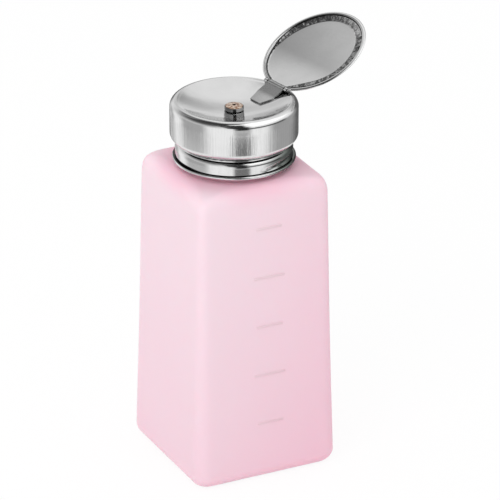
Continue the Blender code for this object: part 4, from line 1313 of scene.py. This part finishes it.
@dataclass
class Hinge(Assembly):
    """The strap on the dish, the pin and the lid that swings on it."""

    body: str = "head"
    angle: float = math.radians(10.8)
    radius: float = 18.7
    height: float = 136.072
    knuckle: float = 0.85
    knuckle_bore: float = 0.55
    pin: float = 0.4
    pin_head: float = 0.65
    pin_head_start: float = 6.4
    pin_end: float = 6.7
    strap_width: float = 9.0
    strap_gauge: float = 0.45
    strap_lift: float = 0.1
    strap_run: float = 5.0
    strap_foot: float = 4.6
    strap_tip: float = 0.6
    strap_bend: float = 0.9
    cheek_end: float = -0.7
    cheek_top: float = -0.2
    ear_start: float = 4.8
    ear_end: float = 6.1
    opening: float = math.radians(151.45)
    lid_radius: float = 19.42
    lid_gauge: float = 0.5
    lip_radius: float = 0.36
    lip_width: float = 0.7
    lip_steps: int = 18
    spin_steps: int = 240
    depth: float = 0.9
    crown: float = 0.25
    panel_steps: int = 14
    wall_width: float = 2.7
    wall_curve: tuple[Point, ...] = ((-0.12, 1.005), (0.08, 0.985), (0.25, 0.92), (0.42, 0.78),
                                     (0.6, 0.55), (0.78, 0.32))
    wall_lean: tuple[float, ...] = (0.3, 0.6, 0.9, 1.0, 1.0)
    draw: float = 15.0
    low_wall: float = 0.5
    tongue_angle: float = math.radians(43.0)
    tongue_gap: float = 0.7
    side_start: float = math.radians(50.0)
    side_end: float = math.radians(125.0)
    edge_from_pin: float = 1.2
    lip_over_pin: float = 0.05

    @property
    def foot(self) -> float:
        """Radius of the foot of the lid's wall."""
        return self.lid_radius - self.lip_width * 1.34

    @property
    def shelf(self) -> float:
        """Radius of the lid's panel, where its wall starts."""
        return self.foot - self.wall_width

    @property
    def middle(self) -> Spot:
        """The middle of the hinge line in metres."""
        across = self.radius * MM
        return across * math.cos(self.angle), across * math.sin(self.angle), self.height * MM

    def _in_place(self, bm: Shape, turn: float = 0.0) -> Shape:
        """Moves a shape from the hinge's own frame to its place on the dish.

        Args:
            bm: The shape, with the hinge line on the Y axis.
            turn: How far it is turned open on the hinge.

        Returns:
            The same bmesh.
        """
        place = Matrix.Rotation(self.angle, 4, "Z")
        place = place @ Matrix.Translation((self.radius, 0, self.height))
        if turn:
            place = place @ Matrix.Rotation(turn, 4, "Y")
        bmesh.ops.transform(bm, matrix=place, verts=bm.verts)
        return bm

    def strap(self, cap: Cap) -> Piece:
        """Bends the strap up from the dish to its knuckle, and closes it by two cheeks, which stand
        in for the shade in the gap under it.

        Args:
            cap: The cap that it stands on.

        Returns:
            The piece.
        """
        half, gauge, low = self.strap_width / 2, self.strap_gauge, -self.strap_run
        end = low - self.strap_foot

        def width_share(x: float) -> float:
            """How wide the strap is at a place along it, against its full width."""
            return 1 - clamped((low - x) / self.strap_foot) * (1 - self.strap_tip)

        def over_dish(x: float) -> float:
            """Height over the pin of the strap's upper face where it lies on the dish."""
            reach = math.hypot(self.radius + x, half * width_share(x))
            return cap.dish_height(reach) + self.strap_lift + gauge - self.height

        inside = (self.knuckle + self.knuckle_bore) / 2
        path = [(x, over_dish(x)) for x in (end, (end + low) / 2, low)] + [(-inside, 0.0)]
        bm = prism(sheet(path, gauge), -half, 2 * half)
        bend = [edge for edge in bm.edges if 2.0 < math.degrees(edge.calc_face_angle(0.0)) < 60.0]
        bevelled(bm, bend, self.strap_bend, 5)
        for vert in bm.verts:
            vert.co.y *= width_share(vert.co.x)
        # The two cheeks are sheets put where there is only the shade in the gap under the strap;
        # strap_steel paints them black.
        under = (low, over_dish(low) - gauge)
        near = self.cheek_end
        cheek = [(low, over_dish(low) - gauge / 2), under, (near, over_dish(near) - gauge),
                 (near, self.cheek_top)]
        tools = [(Change.ADD, prism(cheek, start, gauge)) for start in (-half, half - gauge)]
        bm = combined(bm, [*tools, (Change.ADD, rod(self.knuckle, -half, half)),
                           (Change.CUT, rod(self.knuckle_bore, -half - 1, half + 1))])
        finish = StrapSteel("strap_steel", Grain.CROSS, 190, 168, 0.24, middle=self.middle,
                            turn=(self.angle, 0.0), start=under, end=(-inside, -gauge), half=half)
        return self.keep("hinge_strap", self._in_place(bm), finish, ["hinge_bracket"])

    def rivet(self) -> Piece:
        """Turns the pin with its two peened heads."""
        half = [(0.0, self.pin_end), (self.pin_head - 0.2, self.pin_end),
                (self.pin_head, self.pin_end - 0.15), (self.pin_head, self.pin_head_start),
                (self.pin, self.pin_head_start)]
        bm = turned(mirrored(half), 40)
        turn = Matrix.Rotation(math.pi / 2, 3, "X")
        bmesh.ops.rotate(bm, verts=bm.verts, cent=(0, 0, 0), matrix=turn)
        finish = Steel("pin_steel", Grain.EVEN, 180, 150, 0.3, slot="spring_steel")
        return self.keep("hinge_rod", self._in_place(bm), finish, ["hinge_pin"])

    def _section(self) -> list[Level]:
        """The closed lid's section as (radius, height over the lip, height of its middle)."""
        half = self.lid_gauge / 2
        lip = self.lid_radius - self.lip_width
        steps = self.panel_steps
        middle = [(self.shelf * i / steps, self.depth + self.crown * (1 - (i / steps) ** 2))
                  for i in range(steps)]
        middle += [(self.shelf + self.wall_width * out, self.depth * up)
                   for out, up in self.wall_curve]
        stretch = self.lip_width / self.lip_radius
        curl = [(lip + (reach - lip) * stretch, height, 0.0)
                for reach, height in arc((lip, 0.0), self.lip_radius, 110, -200, self.lip_steps)]
        lean = [0.0] * (len(middle) - len(self.wall_lean)) + list(self.wall_lean)
        upper = [(reach, height + half, height) for reach, height in middle]
        lower = [(reach - half * lean[i], height - half, height)
                 for i, (reach, height) in enumerate(middle)]
        return upper + curl + lower[::-1]

    def _spread(self, spot: Vector) -> float:
        """How far a point of the lid moves out, so that its panel ends at the hinge in a tongue.

        Args:
            spot: The point, with the lid's middle at the origin and the hinge towards +X.

        Returns:
            The factor on its distance from the middle.
        """
        foot, shelf = self.foot, self.shelf
        reach = spot.length
        if reach < 1e-6 or reach > foot:
            return 1.0
        angle = math.atan2(spot.y, spot.x)
        off = max(self.tongue_angle - abs(angle), 0.0)
        wide = smooth((self.side_end - angle) / (self.side_end - self.side_start))
        side = shelf + (foot - shelf) * (wide if angle > 0.0 else 0.0)
        edge = min(max(shelf / math.cos(off), side), foot - self.tongue_gap)
        edge -= self.low_wall * max(-math.sin(angle), 0.0) ** 2
        if reach <= shelf:
            return 1 + (edge / shelf - 1) * (reach / shelf) ** 4
        return (edge + (reach - shelf) * (foot - edge) / (foot - shelf)) / reach

    def lid(self) -> Piece:
        """Spins the lid, draws it down to the pin, notches it and adds its two knuckles."""
        bm = bmesh.new()
        layer = bm.verts.layers.float.new("middle")
        verts = []
        for reach, height, middle in self._section():
            verts.append(bm.verts.new((reach, 0.0, height)))
            verts[-1][layer] = middle
        edges = [bm.edges.new(pair) for pair in zip(verts, verts[1:])]
        spun(bm, verts + edges, self.spin_steps)
        for vert in bm.verts:
            vert.co.xy *= self._spread(vert.co.xy)
            vert.co.x -= self.radius
            share = clamped(-vert.co.x / self.draw)
            vert.co.z += self.lip_over_pin - vert[layer] * (1 - share) ** 2
        gap = self.pin_end + 0.3
        reach = self.lid_radius - self.radius + self.lip_radius + 1
        notch = block((-self.edge_from_pin, -gap, -self.depth), (reach, gap, self.depth))
        tools = [(Change.CUT, notch)]
        half = self.lid_gauge / 2
        for start, end in ((-self.ear_end, -self.ear_start), (self.ear_start, self.ear_end)):
            tab = block((-self.edge_from_pin - self.lid_gauge, start, self.lip_over_pin - half),
                        (0.0, end, self.lip_over_pin + half))
            tools += [(Change.ADD, tab), (Change.ADD, rod(self.knuckle, start, end))]
        bm = combined(bm, [*tools, (Change.CUT, rod(self.knuckle_bore, -gap, gap))])
        inner = bm.faces.layers.float.new(INNER_SIDE)
        bm.normal_update()
        for face in bm.faces:
            face[inner] = float(face.normal.z < 0.0)
        finish = LidSteel("lid_steel", Grain.EVEN, roughness=0.15, line_depth=0.002, lines=3.0,
                          middle=self.middle, turn=(self.angle, self.opening), lid=self)
        return self.keep("lid_pan", self._in_place(bm, self.opening), finish, ["lid"], "lid")

    def build(self, cap: Cap) -> None:
        """Builds the strap, the pin and the lid."""
        self.strap(cap)
        self.rivet()
        self.lid()


@dataclass
class Pump(Assembly):
    """The pump in the neck: barrel, bush, plunger, valves, springs and dip tube."""

    body: str = "pump_body"
    bore: float = 5.6
    wall: float = 1.5
    clearance: float = 0.25
    seat_gap: float = 0.25
    stem: float = 2.5
    stem_hole: float = 2.75
    stem_bore: float = 1.0
    stem_flange: float = 3.6
    stem_flange_thickness: float = 0.8
    chamber: float = 1.7
    barrel_flange: float = 1.2
    vent_radius: float = 0.6
    vent_drop: float = 1.6
    spigot: float = 15.05
    spigot_depth: float = 3.0
    spigot_wall: float = 1.2
    bush_flange_width: float = 0.9
    bush_flange: float = 1.0
    foot_flange: float = 1.8
    socket_wall: float = 1.4
    tube_wall: float = 0.8
    inlet_chamber: float = 2.7
    inlet_seat: float = 1.5
    cage_holes: int = 4
    cage_hole: float = 0.9
    cage_ring: float = 2.4
    seal_width: float = 1.2
    stroke: float = 5.0
    outlet_travel: float = 0.8
    white: Plastic = Plastic("natural_plastic", grey(232), grey(220), 0.36)
    black: Plastic = Plastic("seal_rubber", grey(48), grey(30), 0.55, "seal_rubber")
    wire: Steel = Steel("spring_wire", Grain.EVEN, 190, 160, 0.25, slot="spring_steel")

    def barrel(self) -> None:
        """Turns the barrel, with a spigot ring under its flange and two vent holes, and its bush.
        """
        low, high, flange = self.span("pump_barrel")
        bush_low, bush_high, _ = self.span("guide_bush")
        bush_step = bush_high - self.bush_flange
        step = bush_step - self.seat_gap
        recess = self.bore + self.bush_flange_width
        head = recess + self.wall
        outside = self.bore + self.wall
        under = high - self.barrel_flange
        spigot_foot = under - self.spigot_depth
        spigot_bore = self.spigot - self.spigot_wall
        outline = [
            (recess, high), (flange, high), (flange, under), (self.spigot, under),
            (self.spigot, spigot_foot), (spigot_bore, spigot_foot), (spigot_bore, under),
            (head, under), (head, step - self.wall), (outside, step - 2 * self.wall),
            (outside, low), (self.bore, low), (self.bore, step), (recess, step),
        ]
        vent = rod(self.vent_radius, -outside - 2, outside + 2, 24)
        bmesh.ops.translate(vent, verts=vent.verts, vec=(0, 0, bush_low - self.vent_drop))
        bm = combined(turned(outline, 120, 0.18), [(Change.CUT, vent)])
        self.keep("barrel_tube", bm, self.white, ["pump_barrel"])
        wide, slim = recess - self.clearance, self.bore - self.clearance
        outline = [(self.stem_hole, bush_high), (wide, bush_high), (wide, bush_step),
                   (slim, bush_step), (slim, bush_low), (self.stem_hole, bush_low)]
        self.keep("bush_ring", turned(outline, 96, 0.12), self.white, ["guide_bush"])

    def foot(self) -> None:
        """Turns the foot valve, its cage and ball, and the dip tube."""
        low, high, flange = self.span("foot_valve")
        tube_low, tube_high, tube = self.span("dip_tube")
        cage_low, cage_high, cage = self.span("valve_cage")
        seat = self._seat("inlet_ball", self.inlet_seat)
        bore = tube + self.clearance
        socket = bore + self.socket_wall
        flange_low = tube_high + self.seat_gap
        flange_high = flange_low + self.foot_flange
        outline = [
            (self.inlet_chamber, high), (cage, high), (cage, flange_high), (flange, flange_high),
            (flange, flange_low), (socket, flange_low), (socket, low), (bore, low),
            (bore, flange_low), (self.inlet_seat, flange_low), (self.inlet_seat, seat),
            (self.inlet_chamber, seat),
        ]
        self.keep("valve_body", turned(outline, 96, 0.12), self.white, ["foot_valve"])
        holes = []
        for i in range(self.cage_holes):
            angle = math.tau * (i + 0.5) / self.cage_holes
            hole = turned(ring(0.0, self.cage_hole, cage_low - 1, cage_high + 1), 32)
            spot = (self.cage_ring * math.cos(angle), self.cage_ring * math.sin(angle), 0)
            bmesh.ops.translate(hole, verts=hole.verts, vec=spot)
            holes.append((Change.CUT, hole))
        plate = combined(turned(ring(0.0, cage, cage_low, cage_high), 96, 0.1), holes)
        finish = Steel("cage_steel", Grain.ROUND, 200, 176, 0.25, slot="spring_steel")
        self.keep("cage_plate", plate, finish, ["valve_cage"])
        self._ball("inlet_bead", "inlet_ball", "inlet_valve_ball")
        self._dip_tube(tube_low, tube_high, tube)

    def _dip_tube(self, low: float, high: float, radius: float) -> None:
        """Turns the dip tube and cuts its foot on the slant."""
        bm = turned(ring(radius - self.tube_wall, radius, low, high), 64)
        for vert in bm.verts:
            if vert.co.z < (low + high) / 2:
                vert.co.z += vert.co.x + radius
        finish = Plastic("clear_tube", grey(222), grey(210), 0.18, "tube_plastic")
        self.keep("suction_tube", bm, finish, ["dip_tube"])

    def _seat(self, node: str, bore: float) -> float:
        """Height of the edge of a valve's seat, given its packed ball and the seat's bore."""
        low, high, ball = self.span(node)
        return (low + high) / 2 - math.sqrt((ball + self.seat_gap) ** 2 - bore**2)

    def _ball(self, name: str, node: str, body: str) -> None:
        """Makes a valve ball.

        Args:
            name: The piece's name.
            node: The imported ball.
            body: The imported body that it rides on.
        """
        low, high, radius = self.span(node)
        bm = bmesh.new()
        bmesh.ops.create_icosphere(bm, subdivisions=4, radius=radius,
                                   matrix=Matrix.Translation((0, 0, (low + high) / 2)))
        finish = Steel(f"{name}_steel", Grain.EVEN, 214, 200, 0.1, 0.001, slot="spring_steel")
        self.keep(name, bm, finish, [node], body)

    def springs(self) -> None:
        """Winds the return spring and its seat, and the outlet valve's spring."""
        low, high, _ = self.span("return_spring")
        coil = coiled(radius=4.5, wire=0.45, bottom=low, top=high, turns=5.5, closed=0.9)
        spring = self.keep("return_coil", coil, self.wire, ["return_spring"])
        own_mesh(spring)
        low, high, outer = self.span("spring_seat")
        finish = Steel("seat_steel", Grain.ROUND, 200, 176, 0.25, slot="spring_steel")
        washer = turned(ring(self.stem_bore, outer, low, high), 96, 0.1)
        self.keep("thrust_ring", washer, finish, ["spring_seat"], "thrust_washer")
        low, high, _ = self.span("outlet_spring")
        coil = coiled(radius=1.1, wire=0.12, bottom=low, top=high, turns=3.4, closed=0.7)
        spring = self.keep("outlet_coil", coil, self.wire, ["outlet_spring"], "head")
        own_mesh(spring)

    def plunger(self) -> None:
        """Turns the stem, the piston, its cup seal and the outlet ball."""
        low, high, _ = self.span("plunger_stem")
        seat = self._seat("outlet_ball", self.stem_bore)
        flange = low + self.stem_flange_thickness
        outline = [
            (self.chamber, high), (self.stem, high), (self.stem, flange),
            (self.stem_flange, flange), (self.stem_flange, low), (self.stem_bore, low),
            (self.stem_bore, seat), (self.chamber, seat),
        ]
        finish = Steel("stem_steel", Grain.ROUND, 206, 186, 0.16)
        self.keep("stem_tube", turned(outline, 80, 0.1), finish, ["plunger_stem"], "head")
        self._ball("outlet_bead", "outlet_ball", "outlet_valve_ball")
        low, high, outer = self.span("piston_head")
        lip = self.bore - self.clearance
        floor = lip - self.seal_width
        groove = floor - self.clearance
        outline = [
            (self.stem_hole, low), (outer, low), (outer, low + 1), (groove, low + 1),
            (groove, high - 1), (outer, high - 1), (outer, high), (self.stem_hole, high),
        ]
        piston = turned(outline, 96, 0.1)
        self.keep("piston_ring", piston, self.white, ["piston_head"], "head")
        low, high, _ = self.span("piston_seal")
        outline = [(floor, high), (lip - 0.35, high), (lip - 0.1, (low + high) / 2),
                   (lip, low + 0.35), (lip, low), (lip - 0.45, low), (floor + 0.4, low + 0.5),
                   (floor, low)]
        self.keep("cup_seal", turned(outline), self.black, ["piston_seal"], "head")

    def build(self) -> None:
        """Builds the whole pump."""
        self.barrel()
        self.foot()
        self.springs()
        self.plunger()


@dataclass(frozen=True)
class Card:
    """A grey card in the studio, seen in shiny metal alone.

    Bearing and rise are the card's middle in degrees, the bearing from the camera's side and
    positive to the right; wide and high are its half sizes; edge is how softly it ends; level is
    how bright it is; lean is how much its middle rises for each degree to the right.
    """

    name: str
    bearing: float
    wide: float
    rise: float
    high: float
    edge: float
    level: float
    lean: float = 0.0


CARDS = (
    Card("rear_wall", 180, 50, 25, 46, 10, 0.95),
    Card("rear_band", 176, 30, 26, 8, 10, 0.62),
    Card("left_wall", -75, 58, 58, 36, 26, 0.08),
    Card("left_floor", -75, 26, -8, 22, 10, 0.48),
    Card("left_rear", -138, 9, -20, 24, 9, 0.5),
    Card("left_edge", -166, 13, -20, 30, 8, 0.13),
    Card("lid_back", -143, 16, 54, 18, 8, 0.2),
    Card("lid_screen", -170, 11, 46, 13, 15, 0.96),
    Card("right_wall", 100, 36, -18, 28, 12, 0.42),
    Card("right_rear", 148, 20, -8, 34, 12, 0.13),
    Card("ceiling", 0, 190, 90, 12, 6, 0.08),
    Card("high_rail", -80, 50, 70, 13, 8, 0.05),
    Card("low_rail", -8, 30, 38, 20, 6, 0.04, -1),
    Card("camera_high", 5, 17, 38, 26, 5, 0.03),
    Card("camera_stage", 14, 13, 8, 24, 6, 0.03),
    Card("camera_stand", 15, 15, -32, 13, 4, 0.2),
    Card("right_band", 60, 36, 5, 9, 6, 0.12),
    Card("softbox", 76, 43, 56, 24, 6, 1.5),
)


@dataclass
class Studio:
    """The pale floor, the soft light and the camera. Its sizes are in metres."""

    azimuth: float = math.radians(-26.201)
    distance: float = 1.41528
    height: float = 0.733
    pitch: float = math.radians(24.829)
    focal: float = 4421.029
    middle: Point = (234.1, 249.3)
    frame_size: float = 500.0
    world_level: float = 0.9
    floor_half: float = 4.0
    tent_radius: float = 0.24
    tent_height: float = 0.13
    tent_level: float = 1.08
    floor_tone: Colour = (0.98, 0.98, 0.98)
    floor_share: float = 0.9
    lamp_place: Spot = (-1.2, -0.9, 1.3)
    lamp_aim: Spot = (0.0, 0.0, 0.07)
    lamp_side: float = 1.0
    lamp_power: float = 8.0

    def camera(self) -> None:
        """Puts the camera where the photograph was taken from."""
        data = bpy.data.cameras.new("camera")
        data.sensor_width = 36.0
        data.lens = self.focal / self.frame_size * data.sensor_width
        data.shift_x = 0.5 - self.middle[0] / self.frame_size
        data.shift_y = self.middle[1] / self.frame_size - 0.5
        data.clip_start = 0.05
        data.clip_end = 50.0
        camera = linked("camera", data)
        back = Vector((math.sin(self.azimuth), -math.cos(self.azimuth), 0.0))
        camera.location = back * self.distance + Vector((0, 0, self.height))
        camera.rotation_euler = (math.pi / 2 - self.pitch, 0.0, self.azimuth)
        bpy.context.scene.camera = camera

    def world(self) -> None:
        """Lights everything softly, and shows white to the camera, to metal and through glass."""
        surface = Surface("studio", world=True)
        seen = surface.ray("Camera").larger(surface.ray("Transmission"))
        seen = seen.larger(surface.ray("Glossy"))
        level = surface.value("ShaderNodeMapRange",
                              sockets={"Value": seen, "To Min": self.world_level, "To Max": 1.0})
        bpy.context.scene.world = surface.finish(color=(1.0, 1.0, 1.0), strength=level)

    def floor(self) -> None:
        """Lays a pale floor that still takes the object's shadow."""
        bm = bmesh.new()
        bmesh.ops.create_grid(bm, x_segments=1, y_segments=1, size=self.floor_half)
        floor = shown("floor", bm)
        surface = Surface("pale_floor")
        surface.finish(base_color=self.floor_tone, roughness=0.9, specular_ior_level=0.0)
        share = surface.ray("Camera").larger(surface.ray("Glossy")) * self.floor_share
        plain = Value(surface, surface.shader.outputs[0])
        mixed = surface.value("ShaderNodeMixShader",
                              sockets={0: share, 1: plain, 2: surface.glow(1.0)})
        floor.data.materials.append(surface.show(mixed))

    def _cards(self) -> bpy.types.Material:
        """Paints the tent's cards, one over the other."""
        surface = Surface("tent_cards")
        x, y, z = surface.parts(surface.value("ShaderNodeTexCoord", output="Object"))
        rise = x.reach(y).turn_to(z)
        level: Value | float = self.tent_level
        for card in CARDS:
            middle = self.azimuth - math.pi / 2 + math.radians(card.bearing)
            along, across = bearing_parts(x, y, middle)
            bearing = along.turn_to(across)
            above = abs(rise - card.rise - bearing * card.lean)
            share = abs(bearing).between(card.wide + card.edge, card.wide - card.edge)
            share = share * above.between(card.high + card.edge, card.high - card.edge)
            level = level + share * (card.level - level)
        return surface.show(surface.glow(level))

    def tent(self) -> None:
        """Hangs a tent of soft grey cards round the object, which only shiny metal shows."""
        bm = bmesh.new()
        bmesh.ops.create_uvsphere(bm, u_segments=48, v_segments=24, radius=self.tent_radius)
        tent = shown("tent", bm)
        tent.data.shade_smooth()
        tent.data.materials.append(self._cards())
        tent.location.z = self.tent_height
        for kind in ("camera", "diffuse", "transmission", "volume_scatter", "shadow"):
            setattr(tent, f"visible_{kind}", False)

    def lamp(self) -> None:
        """Hangs one soft square lamp, which faces the object."""
        data = bpy.data.lights.new("key", "AREA")
        data.shape = "SQUARE"
        data.size = self.lamp_side
        data.energy = self.lamp_power
        lamp = linked("key", data)
        lamp.location = self.lamp_place
        aim = Vector(self.lamp_aim) - Vector(self.lamp_place)
        lamp.rotation_euler = aim.to_track_quat("-Z", "Y").to_euler()
        lamp.visible_camera = False

    def build(self) -> None:
        """Sets up the studio."""
        bpy.context.scene.view_settings.view_transform = "Standard"
        self.camera()
        self.world()
        self.floor()
        self.tent()
        self.lamp()


def main() -> None:
    """Builds every sub-assembly in order and writes how large the result is."""
    logging.basicConfig(level=logging.INFO, format="%(name)s: %(message)s")
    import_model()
    Studio().build()
    Bottle().build()
    Collar().build()
    cap = Cap()
    cap.build()
    Hinge().build(cap)
    Pump().build()


if __name__ == "__main__":
    main()
